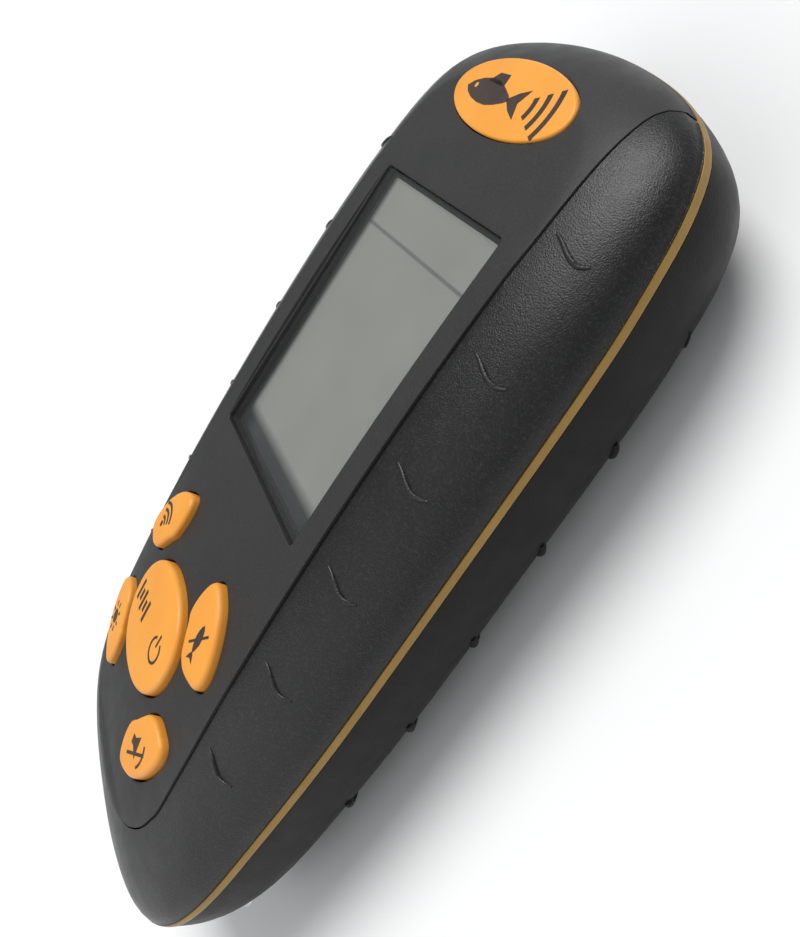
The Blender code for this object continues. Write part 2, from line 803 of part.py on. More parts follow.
def build_keys(looks):
    for name, (stem, outline) in KEYS.items():
        origin = (stem[0], stem[1], STEM_BOTTOM_Z)

        def crown(drop):
            return lambda x, y: crowned_z(x, y) + KEY_PROUD - drop

        key = stacked("key_" + name, (
            (outline, FLANGE_TOP_Z - 0.4),
            (outline, crown(0.7)),
            (offset(outline, -0.22), crown(0.22)),
            (offset(outline, -0.75), crown(0.03)),
        ), origin, (stem[0], stem[1], crown(0.0)(*stem)))
        flange = offset(outline, FLANGE_EXTRA)
        join(key, prism("flange", flange, FLANGE_TOP_Z - FLANGE_THICK, FLANGE_TOP_Z, origin))
        join(key, post("stem", stem, STEM_RADIUS, STEM_BOTTOM_Z, FLANGE_TOP_Z - 0.3, 16, origin))
        finish(key, looks["orange"])

    mat = box(
        "key_mat", (-MAT_HALF_X, KEY_BOARD_LOW_Y, MAT_TOP_Z - MAT_THICK), (MAT_HALF_X, MAT_HIGH_Y, MAT_TOP_Z))
    for stem, _ in KEYS.values():
        cut(mat, post("hole", stem, STEM_RADIUS + 0.4, MAT_TOP_Z - 3.0, MAT_TOP_Z + 3.0, 16))
    finish(mat, looks["silicone"])

    board = box(
        "key_board", (-KEY_BOARD_HALF_X, KEY_BOARD_LOW_Y, KEY_BOARD_Z - KEY_BOARD_THICK),
        (KEY_BOARD_HALF_X, KEY_BOARD_HIGH_Y, KEY_BOARD_Z))
    for x in (-KEY_POST_X, KEY_POST_X):
        cut(board, post("hole", (x, KEYS_Y), 1.2, KEY_BOARD_Z - 4.0, KEY_BOARD_Z + 3.0, 12))
    finish(board, looks["board"])
    face = KEY_BOARD_Z - KEY_BOARD_THICK - 1.05
    for number, x in enumerate((-KEY_POST_X, KEY_POST_X), 1):
        screw = lathe(f"key_screw_{number}", (
            (0.0, 0.0), (1.75, 0.0), (1.75, 0.9), (0.75, 0.9), (0.75, 3.8), (0.0, 4.3),
        ), (0, 0, 1), (x, KEYS_Y, face), 14)
        cut_cross(screw, (x, KEYS_Y), face, 0.45, 1.0)
        finish(screw, looks["steel"])
    for name, (stem, _) in KEYS.items():
        base = KEY_BOARD_Z + DOME_GAP
        rise = DOME_TOP_Z - base
        dome_switch = lathe("dome_" + name, (
            (0.0, rise - 0.18), (1.4, 0.3 * rise), (2.7, 0.0), (3.2, 0.0), (3.2, 0.12), (2.8, 0.14),
            (1.6, 0.75 * rise), (0.6, rise - 0.01), (0.0, rise),
        ), (0, 0, 1), (stem[0], stem[1], base), 14)
        finish(dome_switch, looks["steel"])


def cut_cross(screw, centre, face, depth, arm):
    """A cross recess in a screw head that faces down (-Z)."""
    x, y = centre
    for long_x, long_y in ((arm, 0.24), (0.24, arm)):
        cut(screw, box("arm", (x - long_x, y - long_y, face - 1.0), (x + long_x, y + long_y, face + depth)))


def build_display(looks):
    x, y = WINDOW_HALF_X - LENS_CLEAR, WINDOW_HALF_Y - LENS_CLEAR
    lens = stacked("display_lens", (
        (rectangle(x, y), lambda x, y: lens_z(y) - LENS_THICK),
        (rectangle(x, y), lambda x, y: lens_z(y) - LENS_CHAMFER),
        (rectangle(x - LENS_CHAMFER, y - LENS_CHAMFER), lambda x, y: lens_z(y)),
    ))
    finish(lens, looks["clear"])
    tape_x, tape_y = x - 0.1, y - 0.1
    outline = rectangle(tape_x, tape_y)
    tape = stacked("lens_tape", (
        (outline, lambda x, y: lens_z(y) - LENS_THICK - LEDGE_DROP + TAPE_GAP),
        (outline, lambda x, y: lens_z(y) - LENS_THICK - PART_GAP),
    ))
    cut(tape, prism("hole", rectangle(tape_x - TAPE_WIDTH, tape_y - TAPE_WIDTH), -BEYOND, OUTER_Z))
    finish(tape, looks["foam"])
    gasket_x, gasket_y = CELL_HALF_X - 0.2, CELL_HALF_Y - 0.2
    frame(looks, "lcd_gasket", gasket_x, gasket_y, GASKET_WIDTH, CELL_HIGH_Z + 0.2, PAD_BOTTOM_Z - PART_GAP)
    cell = prism("lcd_cell", rectangle(CELL_HALF_X, CELL_HALF_Y), CELL_LOW_Z, CELL_HIGH_Z)
    join(cell, leaning("front_glass", GLASS_HALF_X, GLASS_HALF_Y, CELL_HIGH_Z - 0.8, LENS_THICK + PART_GAP))
    cut(cell, box("step", (-BEYOND, GLASS_HALF_Y + 0.25, CELL_HIGH_Z - 1.0), (BEYOND, BEYOND, OUTER_Z)))
    finish(cell, looks["lcd"])
    guide = rectangle(CELL_HALF_X - 0.1, CELL_HALF_Y - 0.1)
    finish(prism("backlight_plate", guide, GUIDE_LOW_Z, GUIDE_HIGH_Z), looks["pale"])
    tray = prism("lcd_tray", rectangle(TRAY_HALF_X, TRAY_HALF_Y), TRAY_LOW_Z, TRAY_HIGH_Z)
    pocket = rectangle(TRAY_HALF_X - TRAY_WALL, TRAY_HALF_Y - TRAY_WALL)
    cut(tray, prism("pocket", pocket, TRAY_FLOOR_Z, OUTER_Z))
    cut(tray, box("ribbon_slot", (-9.5, 20.0, CELL_LOW_Z), (9.5, 26.0, OUTER_Z)))
    finish(tray, looks["tray"])
    ribbon_line = ((22.9, -6.5), (25.4, -6.5), (26.2, -7.3), (26.2, -10.2), (27.0, -11.1), (31.0, -11.1))
    ribbon(looks, "lcd_ribbon", ribbon_line, -8.0, 8.0)
    key_line = ((-34.0, -8.35), (-28.8, -8.35), (-27.6, -9.4), (-26.6, -10.9), (-25.2, -11.1), (-7.0, -11.1))
    ribbon(looks, "key_ribbon", key_line, -5.0, 5.0)


def frame(looks, name, x, y, width, low, high):
    """A flat black foam frame with these outer half sides."""
    made = prism(name, rectangle(x, y), low, high)
    cut(made, prism("hole", rectangle(x - width, y - width), low - 2.0, high + 2.0))
    finish(made, looks["foam"])


def ribbon(looks, name, line, left, right):
    """A thin flat cable: the line gives (y, z) of its middle."""
    chain = np.array(line)
    along = np.gradient(chain, axis=0)
    along /= np.linalg.norm(along, axis=1)[:, None]
    across = np.stack([-along[:, 1], along[:, 0]], 1) * RIBBON_THICK / 2
    edge = [tuple(p) for p in chain + across] + [tuple(p) for p in (chain - across)[::-1]]
    count = len(edge)
    points = [(left, y, z) for y, z in edge] + [(right, y, z) for y, z in edge]
    faces = [tuple(range(count)), tuple(range(count, 2 * count))[::-1]]
    faces += [(i, (i + 1) % count, count + (i + 1) % count, count + i) for i in range(count)]
    finish(new_object(name, points, faces), looks["ribbon"])


def build_boards(looks):
    right = ((25.0, -11.2), (25.0, 31.0), (21.0, 36.6), (6.8, 36.6), (6.8, 34.2))
    outline = [*right, *((-x, y) for x, y in reversed(right))]
    board = prism("main_board", outline, MAIN_BOARD_Z - MAIN_BOARD_THICK, MAIN_BOARD_Z)
    for x, y in CASE_SCREWS[:2]:
        cut(board, post("relief", (x, y), CASE_POST_RADIUS + 0.5, MAIN_BOARD_Z - 4.0, MAIN_BOARD_Z + 3.0))
    for number, (x, y, _) in enumerate(BOARD_POSTS, 1):
        cut(board, post("hole", (x, y), 1.35, MAIN_BOARD_Z - 4.0, MAIN_BOARD_Z + 3.0, 12))
        face = MAIN_BOARD_Z - MAIN_BOARD_THICK - 1.2
        screw = lathe(f"board_screw_{number}", (
            (0.0, 0.0), (2.1, 0.0), (2.1, 1.05), (0.85, 1.05), (0.85, 7.2), (0.0, 7.8),
        ), (0, 0, 1), (x, y, face), 14)
        cut_cross(screw, (x, y), face, 0.5, 1.2)
        finish(screw, looks["steel"])
    finish(board, looks["board"])
    under = MAIN_BOARD_Z - MAIN_BOARD_THICK - PART_GAP
    finish(box("controller_chip", (-6.0, 3.0, under - 1.4), (8.0, 17.0, under)), looks["chip"])
    finish(box("drive_transformer", (-19.5, 14.0, under - 7.6), (-9.0, 25.0, under)), looks["ferrite"])
    sounder = lathe("sounder", (
        (0.0, 0.0), (6.2, 0.0), (6.2, 4.4), (1.2, 4.4), (1.2, 3.8), (0.0, 3.8),
    ), (0, 0, -1), (14.0, 22.0, under), 24)
    finish(sounder, looks["chip"])


def build_back(looks):
    housing = back_dome("back_housing", 0.0, BACK_TOP_Z)
    add_ridges(housing, back_flank, BACK_RIDGE_FIRST_Y, BACK_RIDGE_RADIUS, FIRST_BACK_RIDGE_RADIUS)
    cavity = back_dome("cavity", BACK_WALL, BACK_TOP_Z + 3.0)
    solid = box(
        "bay_block", (-BAY_HALF_X - BAY_WALL, BAY_BOTTOM_Y - BAY_END_WALL, -BEYOND),
        (BAY_HALF_X + BAY_WALL, BAY_TOP_Y + BAY_END_WALL, BAY_ROOF_Z + BAY_ROOF_THICK))
    join(solid, box(
        "end_block", (-BAY_HALF_X - BAY_WALL + 0.2, -FAR_Y - 2.0, -BEYOND - 1.0),
        (BAY_HALF_X + BAY_WALL - 0.2, BAY_BOTTOM_Y, DOOR_END_Z + 2.0)))
    for x, y in CASE_SCREWS:
        join(solid, post("screw_post", (x, y), CASE_SEAT_RADIUS, -BEYOND - 2.0, CASE_POST_LOW_Z - 0.3))
    cut(cavity, solid)
    cut(cavity, turned("boss", SOCKET_BOSS_RADIUS, SOCKET_BOSS_Y, 60.0))
    cut(housing, cavity)
    for x, y in CASE_SCREWS:
        cut(housing, post("post_room", (x, y), CASE_POST_RADIUS + 0.3, CASE_POST_LOW_Z - 0.3, 0.0))
        cut(housing, post("shank_hole", (x, y), CASE_SHANK_HOLE, -BEYOND, CASE_POST_LOW_Z + 0.5, 16))
        cut(housing, post("head_hole", (x, y), CASE_HEAD_HOLE, -BEYOND, SCREW_HEAD_Z, 18))
    cut(housing, box("bay", (-BAY_HALF_X, BAY_BOTTOM_Y, -BEYOND), (BAY_HALF_X, BAY_TOP_Y, BAY_ROOF_Z)))
    rail = box(
        "rail", (-BAY_HALF_X - RAIL_OUT - RAIL_CLEAR, -FAR_Y, RAIL_BOTTOM_Z - DOOR_GAP),
        (BAY_HALF_X + RAIL_OUT + RAIL_CLEAR, BAY_TOP_Y - 0.5, RAIL_TOP_Z + DOOR_GAP))
    end = box("end", (-BAY_HALF_X, -FAR_Y - 1.0, -BEYOND), (BAY_HALF_X, BAY_BOTTOM_Y + 1.0, DOOR_END_Z))
    cut(housing, join(rail, end))
    cut(housing, turned("seat", SOCKET_FLANGE_RADIUS + 0.3, SOCKET_SEAT_Y, 60.0))
    cut(housing, turned("hole", SOCKET_BODY_RADIUS + 0.2, SOCKET_SEAT_Y - 10.0, 50.0))
    finish(housing, looks["back"])
    for number, (x, y) in enumerate(CASE_SCREWS, 1):
        face = SCREW_HEAD_Z - CASE_SCREW_TALL
        screw = lathe(f"case_screw_{number}", (
            (0.0, 0.0), (1.6, 0.0), (2.0, 0.35), (2.0, 1.9), (0.95, 1.9), (0.95, 11.4), (0.0, 12.2),
        ), (0, 0, 1), (x, y, face), 16)
        cut_cross(screw, (x, y), face, 0.8, 1.2)
        finish(screw, looks["steel"])


def build_door(looks):
    door = back_dome("battery_door", 0.0, BACK_TOP_Z - 2.0)
    half = BAY_HALF_X - DOOR_GAP
    keep(door, box("area", (-half, -FAR_Y, -BEYOND), (half, BAY_TOP_Y - DOOR_GAP, DOOR_END_Z - DOOR_GAP)))
    web = half - DOOR_WEB
    start_y = BAY_BOTTOM_Y - DOOR_GAP
    cut(door, box("hollow", (-web, start_y, DOOR_INNER_Z), (web, 10.0, PARTING_Z)))
    cut(door, box("over_rails", (-BEYOND, start_y, RAIL_TOP_Z), (BEYOND, 10.0, PARTING_Z)))
    for side in (-1, 1):
        low, high = sorted((side * (half - 0.8), side * (half + RAIL_OUT)))
        join(door, box(
            "rail", (low, BAY_BOTTOM_Y + 2.0, RAIL_BOTTOM_Z), (high, BAY_TOP_Y - 1.5, RAIL_TOP_Z - 0.05)))
    for k in range(THUMB_GROOVES):
        y = BAY_TOP_Y - THUMB_FIRST - THUMB_PITCH * k
        cut(door, box(
            "thumb", (-THUMB_HALF_X, y - THUMB_HALF_Y, REST_Z - 1.0),
            (THUMB_HALF_X, y + THUMB_HALF_Y, REST_Z + THUMB_DEEP)))
    finish(door, looks["back"])


def turned(name, radius, low_y, high_y, count=28):
    """A round bar along Y at the socket's height."""
    profile = ((0.0, 0.0), (radius, 0.0), (radius, high_y - low_y), (0.0, high_y - low_y))
    return lathe(name, profile, (0, 1, 0), (0.0, low_y, SOCKET_Z), count)


def build_band(looks):
    half = half_outline()
    ring = [tuple(p) for p in half] + [(-x, y) for x, y in half[::-1][1:-1]]
    ring = ring[::-1]
    low, high = PARTING_Z - BAND_HEIGHT / 2, PARTING_Z + BAND_HEIGHT / 2
    band = stacked("trim_band", (
        (offset(ring, BAND_PROUD - 0.15), low),
        (offset(ring, BAND_PROUD), low + 0.25),
        (offset(ring, BAND_PROUD), high - 0.25),
        (offset(ring, BAND_PROUD - 0.15), high),
    ))
    cut(band, prism("inside", offset(ring, -BAND_DEPTH), low - 3.0, high + 3.0))
    finish(band, looks["gold"])


def build_battery(looks):
    length = CELL_LENGTH + NUB_LENGTH
    low_face = BAY_BOTTOM_Y + POST_GAP + CONTACT_THICK
    high_face = BAY_TOP_Y - POST_GAP - CONTACT_THICK
    for number in range(4):
        x = CELL_PITCH * (number - 1.5)
        up = 1 if number % 2 == 0 else -1
        tip = high_face - CELL_GAP if up > 0 else low_face + CELL_GAP
        start = tip - up * length
        cell = lathe(f"cell_{number + 1}", (
            (0.0, 0.0), (CELL_RADIUS - CELL_ROUND, 0.0), (CELL_RADIUS, CELL_ROUND),
            (CELL_RADIUS, CELL_LENGTH - CELL_ROUND), (CELL_RADIUS - CELL_ROUND, CELL_LENGTH),
            (NUB_RADIUS, CELL_LENGTH), (NUB_RADIUS, length), (0.0, length),
        ), (0, up, 0), (x, start, CELL_Z), 20)
        finish(cell, looks["cell"])
        far = low_face + PART_GAP if up > 0 else high_face - PART_GAP
        spring = coil(f"spring_{number + 1}", (x, far, CELL_Z), up, abs(start - far) - PART_GAP)
        finish(spring, looks["steel"])
    spans = (
        ("contact_low_1", low_face - CONTACT_THICK, -1.5, -0.5),
        ("contact_low_2", low_face - CONTACT_THICK, 0.5, 1.5),
        ("contact_high_1", high_face, -1.5, -1.5), ("contact_high_2", high_face, -0.5, 0.5),
        ("contact_high_3", high_face, 1.5, 1.5),
    )
    for name, y, first, last in spans:
        left, right = CELL_PITCH * first - CONTACT_HALF_X, CELL_PITCH * last + CONTACT_HALF_X
        low_z, high_z = CELL_Z - CONTACT_BELOW, CELL_Z + CONTACT_ABOVE
        plate = box(name, (left, y, low_z), (right, y + CONTACT_THICK, high_z))
        finish(plate, looks["brass"])


def coil(name, start, up, length):
    """A conical contact spring along +Y or -Y, wide at its plate."""
    sides, wire = SPRING_SIDES, SPRING_WIRE
    count = int(SPRING_TURNS * SPRING_STEPS) + 1
    points = []
    for k in range(count):
        share = k / (count - 1)
        turn = 2 * math.pi * SPRING_TURNS * share
        radius = SPRING_WIDE - (SPRING_WIDE - SPRING_NARROW) * share
        away = Vector((math.cos(turn), 0.0, math.sin(turn)))
        centre = Vector(start) + away * radius
        centre.y += up * (wire + (length - 2 * wire) * share)
        for s in range(sides):
            roll = 2 * math.pi * s / sides
            points.append(tuple(centre + wire * (math.cos(roll) * away + math.sin(roll) * Vector((0, 1, 0)))))
    last = (count - 1) * sides
    faces = [tuple(range(sides))[::-1], tuple(range(last, last + sides))]
    for k in range(count - 1):
        for s in range(sides):
            t = (s + 1) % sides
            faces.append((k * sides + s, k * sides + t, (k + 1) * sides + t, (k + 1) * sides + s))
    return new_object(name, points, faces)


def build_socket(looks):
    body = lathe("socket_body", (
        (0.0, 0.0), (SOCKET_BODY_RADIUS, 0.0), (SOCKET_BODY_RADIUS, SOCKET_STEP),
        (SOCKET_FLANGE_RADIUS, SOCKET_STEP), (SOCKET_FLANGE_RADIUS, SOCKET_LONG - 0.3),
        (SOCKET_FLANGE_RADIUS - 0.3, SOCKET_LONG), (SOCKET_BORE_RADIUS + 0.3, SOCKET_LONG),
        (SOCKET_BORE_RADIUS, SOCKET_LONG - 0.3), (SOCKET_BORE_RADIUS, SOCKET_FLOOR), (0.0, SOCKET_FLOOR),
    ), (0, 1, 0), (0.0, SOCKET_BACK_Y, SOCKET_Z), 28)
    finish(body, looks["steel"])
    insert = turned(
        "socket_insert", SOCKET_BORE_RADIUS - 0.2, SOCKET_BACK_Y + SOCKET_FLOOR + PART_GAP,
        SOCKET_BACK_Y + 2 * SOCKET_FLOOR, 20)
    for number, x in enumerate((-PIN_X, PIN_X), 1):
        hole = lathe("hole", ((0.0, 0.0), (PIN_HOLE, 0.0), (PIN_HOLE, 9.0), (0.0, 9.0)), (0, 1, 0),
                     (x, SOCKET_BACK_Y, SOCKET_Z), 10)
        cut(insert, hole)
        pin = lathe(f"socket_pin_{number}", (
            (0.0, 0.0), (PIN_RADIUS, 0.0), (PIN_RADIUS, PIN_LONG - 0.4), (0.2, PIN_LONG), (0.0, PIN_LONG),
        ), (0, 1, 0), (x, SOCKET_BACK_Y + SOCKET_FLOOR + 0.2, SOCKET_Z), 10)
        finish(pin, looks["brass"])
    finish(insert, looks["chip"])
    nut = turned("socket_nut", SOCKET_NUT_RADIUS, SOCKET_BOSS_Y - 2.2, SOCKET_BOSS_Y - 0.2, 6)
    cut(nut, turned("hole", SOCKET_BODY_RADIUS + PART_GAP, SOCKET_BOSS_Y - 5.0, SOCKET_BOSS_Y + 3.0, 24))
    finish(nut, looks["steel"])
    seal = turned("socket_seal", SOCKET_FLANGE_RADIUS - 0.1, SOCKET_SEAT_Y + 0.12, SOCKET_SEAT_Y + 0.88, 24)
    cut(seal, turned("hole", SOCKET_BODY_RADIUS + PART_GAP, SOCKET_SEAT_Y - 3.0, SOCKET_SEAT_Y + 3.0, 24))
    finish(seal, looks["foam"])


def main():
    clear_scene()
    looks = {
        "plate": material("plate_black", CHARCOAL, 0.55),
        "grip": material("grip_rubber", SOFT_BLACK, 0.62),
        "back": material("back_black", BACK_BLACK, 0.5),
        "orange": material("orange_plastic", ORANGE, 0.42),
        "gold": material("gold_band", GOLD, 0.45),
        "lcd": material("lcd_glass", LCD_GREY, 0.12),
        "clear": material("lens_clear", (0.75, 0.78, 0.76), 0.05, 0.0, 0.35),
        "pale": material("light_guide", PALE, 0.3),
        "tray": material("tray_plastic", (0.5, 0.5, 0.48), 0.5),
        "foam": material("seal_black", (0.02, 0.02, 0.02), 0.9),
        "silicone": material("mat_silicone", (0.25, 0.25, 0.26), 0.7),
        "board": material("board_green", BOARD_GREEN, 0.45),
        "ribbon": material("ribbon_amber", (0.55, 0.30, 0.06), 0.35),
        "chip": material("chip_black", (0.02, 0.02, 0.022), 0.5),
        "ferrite": material("ferrite_grey", (0.07, 0.07, 0.07), 0.6),
        "steel": material("plated_steel", STEEL, 0.3, 1.0),
        "brass": material("contact_brass", BRASS, 0.3, 1.0),
        "cell": material("cell_sleeve", CELL_SLEEVE, 0.35),
    }
    build_front(looks)
    build_keys(looks)
    build_display(looks)
    build_boards(looks)
    build_band(looks)
    build_back(looks)
    build_door(looks)
    build_battery(looks)
    build_socket(looks)


main()
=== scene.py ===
"""Looks of the hand-held fish finder: smooth shells, keys, prints and materials round the CAD frame.

Numbers are millimetres in the design frame unless a name says otherwise: origin at the middle of the
display window, +X to the right, +Y to the top end, +Z out of the face. place() turns them into the row
frame. The length, the back's rest, the band and the window's place are read from the CAD nodes.
"""

import json
import math

import bmesh
import bpy
import numpy as np
from mathutils import Matrix, Vector


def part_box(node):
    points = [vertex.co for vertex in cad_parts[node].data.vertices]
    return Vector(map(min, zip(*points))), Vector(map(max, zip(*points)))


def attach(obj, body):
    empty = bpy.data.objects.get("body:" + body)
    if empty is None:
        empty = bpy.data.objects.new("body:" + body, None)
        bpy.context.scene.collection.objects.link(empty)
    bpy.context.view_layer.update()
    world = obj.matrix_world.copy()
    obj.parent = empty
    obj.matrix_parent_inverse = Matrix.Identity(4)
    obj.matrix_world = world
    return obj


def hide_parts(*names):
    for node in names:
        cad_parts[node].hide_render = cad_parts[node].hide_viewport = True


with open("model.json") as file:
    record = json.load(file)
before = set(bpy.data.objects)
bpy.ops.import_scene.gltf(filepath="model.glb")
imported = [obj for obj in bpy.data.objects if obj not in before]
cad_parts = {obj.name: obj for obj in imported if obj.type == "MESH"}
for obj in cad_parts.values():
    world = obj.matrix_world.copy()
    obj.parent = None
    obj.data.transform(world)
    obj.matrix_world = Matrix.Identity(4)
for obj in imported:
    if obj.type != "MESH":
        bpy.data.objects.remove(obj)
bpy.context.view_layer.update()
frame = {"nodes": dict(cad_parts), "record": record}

MM = 0.001
CASE = "case"


def box_mm(node):
    low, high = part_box(node)
    return np.array(low) / MM, np.array(high) / MM


# ---- driving sizes ----
lens_low, lens_high = box_mm("display_lens")
ROW_Y = (lens_low[1] + lens_high[1]) / 2
ROW_Z = 26.9
back_low, back_high = box_mm("back_housing")
HALF_WIDTH = 33.2
TOP_Y = back_high[1] - ROW_Y
BOTTOM_Y = back_low[1] - ROW_Y
REST_Z = back_low[2] - ROW_Z
MIDDLE_Y = (TOP_Y + BOTTOM_Y) / 2
HALF_LENGTH = (TOP_Y - BOTTOM_Y) / 2
band_low, band_high = box_mm("trim_band")
PARTING_Z = (band_low[2] + band_high[2]) / 2 - ROW_Z
BAND_HEIGHT = band_high[2] - band_low[2]
# The seams beside the band and the grip are drawn tighter than the gaps between the CAD's solids.
BAND_GAP = 0.08
GROOVE = 0.2
BAND_PROUD = 0.12
BAND_DEPTH = 1.6
BAND_BULGE = 0.2

# ---- shells, as in the CAD ----
FACE_PEAK_Z = 1.15
FACE_PEAK_Y = -18.0
FACE_FALL_TOP = 1.05e-3
FACE_FALL_BOTTOM = 0.85e-3
KEYPAD_CROWN = 1.8
KEYPAD_CROWN_REACH = 22.0
GRIP_CROWN = 0.49
FRONT_SIDE_IN = 17.6
FRONT_TOP_IN = 11.0
FRONT_BOTTOM_IN = 17.0
FRONT_LAST_ANGLE = math.radians(66.5)
BACK_SIDE_IN = 16.0
BACK_TOP_IN = 11.0
BACK_BOTTOM_IN = 16.0
GRIP_THICK = 1.5
FRONT_SKIN = 3.3
BACK_WALL = 2.2
FRONT_BASE_Z = PARTING_Z + BAND_HEIGHT / 2 + BAND_GAP
BACK_TOP_Z = PARTING_Z - BAND_HEIGHT / 2 - BAND_GAP
FINE = 110
COARSE = 40
FRONT_STEPS = 18
BACK_STEPS = 22
CAVITY_STEPS = 10
CAP_STEPS = 17
RING_STEP = 0.02
OUTLINE_SPAN = 16
EDGE_SPAN = 12
EDGE_SAMPLES = 120
OUTER_Z = 12.0
BELOW_Z = -40.0
FAR_Y = 90.0
OUTSIDE_Y = 60.0
SHARP_DEGREES = 32.0

# The right half of the plan outline, from the top end to the bottom end.
OUTLINE = (
    (0.0, TOP_Y),
    (11.0, 44.9),
    (20.8, 42.8),
    (27.4, 39.2),
    (30.6, 33.6),
    (32.2, 25.5),
    (33.1, 14.0),
    (HALF_WIDTH, -12.0),
    (33.0, -36.0),
    (31.8, -54.0),
    (30.3, -66.6),
    (27.2, -74.6),
    (21.4, -79.4),
    (11.5, -81.9),
    (0.0, BOTTOM_Y),
)

# The right edge of the face plate, from outside the shoulder round to the middle of the bottom end.
PLATE_EDGE = (
    (36.0, 39.5),
    (27.0, 40.9),
    (24.3, 41.4),
    (22.9, 41.6),
    (22.1, 40.8),
    (21.8, 39.4),
    (21.95, 36.5),
    (22.1, 31.0),
    (22.2, 24.0),
    (22.0, 14.0),
    (22.0, -20.0),
    (21.9, -55.0),
    (20.9, -63.2),
    (17.9, -67.9),
    (12.6, -71.2),
    (6.5, -73.1),
    (0.0, -73.6),
)
RIDGE_COUNT = 6
RIDGE_PITCH = 14.4
FRONT_RIDGE_FIRST_Y = 24.0
BACK_RIDGE_FIRST_Y = 23.4
RIDGE_LENGTH = 4.9
RIDGE_WAVE = 0.8
RIDGE_TURNS = 0.65
RIDGE_PHASE = 0.3
RIDGE_RADIUS = 0.34
BACK_RIDGE_RADIUS = 0.7
FIRST_BACK_RIDGE_RADIUS = 0.2
FRONT_RIDGE_IN = 5.8
BACK_RIDGE_ANGLE = math.radians(46.0)
FRONT_FLANK_BEND = 13.0
BACK_FLANK_BEND = 16.0
FRONT_RIDGE_SINK = 0.05
BACK_RIDGE_SINK = 0.1
RIDGE_TIP = 0.06

# ---- display, badge and keys ----
WINDOW_HALF_X = 17.3
WINDOW_HALF_Y = 21.5
WINDOW_CORNER = 0.7
WINDOW_ROUND = 0.22
OPENING_CORNER = 0.5
THROUGH_LOW_Z = -8.0
THROUGH_HIGH_Z = 5.0
WELL_FLARE = 0.25
WELL_ABOVE = 0.8
LENS_TOP_Z = -0.8
LENS_TILT = 0.03
LENS_THICK = 1.0
LENS_CLEAR = 0.12
# How far in, and how far below the lens's face, each step of its rounded edge is.
LENS_EDGE = ((0.0, 0.18), (0.07, 0.06), (0.2, 0.0))
LEDGE_DROP = 0.55
LEDGE_WIDTH = 0.6
PAD_BOTTOM_Z = -4.3
PAD_TOP_Z = -1.4
PAD_MARGIN = 2.6
BADGE_Y = 35.4
BADGE_HALF_X = 14.2
BADGE_HALF_Y = 5.1
BADGE_PROUD = 0.35
BADGE_FALL = -0.112
BADGE_CLEAR = 0.18
BADGE_SEAT_Z = -2.9
BADGE_BOTTOM_Z = -2.6
BADGE_ROUND = 0.32
BADGE_SIDES = 128
KEYS_Y = -48.4
CENTRE_HALF_X = 10.7
CENTRE_HALF_Y = 8.2
KEY_PROUD = 1.15
KEY_CLEAR = 0.3
KEY_BASE_Z = -3.4
KEY_ROUND = 0.75
KEY_SQUARENESS = 2.15
KEY_RINGS = (0.86, 0.72, 0.58, 0.44, 0.3, 0.16)
KEY_WELL_ROUND = 0.2
KEY_FLOOR_HALF_X = 21.0
KEY_FLOOR_LOW_Y = -66.5
KEY_FLOOR_HIGH_Y = -31.0
KEY_FLOOR_Z = -2.4
UPPER_KEYS_DROP = 0.2
LOWER_KEYS_DROP = 1.1
LEFT_KEYS_OUT = 0.55
LEFT_KEYS_UP = 0.75
STEM_X = 13.4
UPPER_STEM_Y = KEYS_Y + 9.3
LOWER_STEM_Y = KEYS_Y - 10.6
# The upper right key, measured from the middle of the keys.
CORNER_KEY = (
    (10.2, 15.2),
    (13.5, 14.0),
    (15.8, 12.0),
    (17.6, 9.3),
    (18.5, 6.4),
    (17.9, 4.5),
    (16.0, 3.9),
    (13.7, 3.8),
    (11.8, 4.6),
    (10.5, 6.1),
    (9.2, 7.9),
    (8.1, 9.3),
    (7.9, 11.9),
    (8.6, 14.4),
)
INK = 0.03
INK_STEP = 0.35
INK_FACET = 0.8
INK_DEGREES = 60.0
EYE_PROUD = 0.02
BADGE_FISH_AT = (-4.3, BADGE_Y - 0.3)
BADGE_FISH_WIDE = 2.1
BADGE_FISH_TALL = 1.6
BADGE_EYE_AT = (-8.9, BADGE_Y + 0.1)
BADGE_EYE_RADIUS = 0.36
BADGE_WAVES_AT = (2.6, BADGE_Y - 0.3)
BADGE_WAVES = (3.4, 5.6, 7.8)
BADGE_WAVE_WIDTH = 0.9

# ---- battery bay, door, posts and socket ----
BAY_HALF_X = 21.6
BAY_TOP_Y = -14.0
BAY_BOTTOM_Y = -66.0
BAY_ROOF_Z = -13.6
DOOR_INNER_Z = -25.0
DOOR_GAP = 0.3
DOOR_END_Z = -22.4
RAIL_OUT = 0.95
RAIL_TOP_Z = -23.6
RAIL_BOTTOM_Z = -24.6
CASE_SCREWS = ((24.6, 31.0), (-24.6, 31.0), (24.8, -70.0), (-24.8, -70.0))
POST_TOP_Z = -15.1
SCREW_HEAD_Z = -16.9
SOCKET_Z = -16.6
SOCKET_SEAT_Y = 41.0
SOCKET_BOSS_Y = 37.5
SOCKET_BOSS_RADIUS = 7.0
SOCKET_FLANGE_RADIUS = 5.0
SOCKET_BODY_RADIUS = 4.1
RAIL_CLEAR = 0.25
BAY_WALL = 2.0
BAY_END_WALL = 1.5
BAY_ROOF_THICK = 1.2
DOOR_WEB = 1.1
THUMB_GROOVES = 5
THUMB_FIRST = 5.0
THUMB_PITCH = 2.2
THUMB_HALF_X = 8.0
THUMB_HALF_Y = 0.6
THUMB_ROUND = 0.55
THUMB_DEEP = 0.6
CASE_SEAT_RADIUS = 3.4
CASE_SHANK_HOLE = 1.3
CASE_HEAD_HOLE = 2.3


# ---------------------------------------------------------------- mesh helpers

def place(x, y, z):
    return Vector((x, y + ROW_Y, z + ROW_Z)) * MM


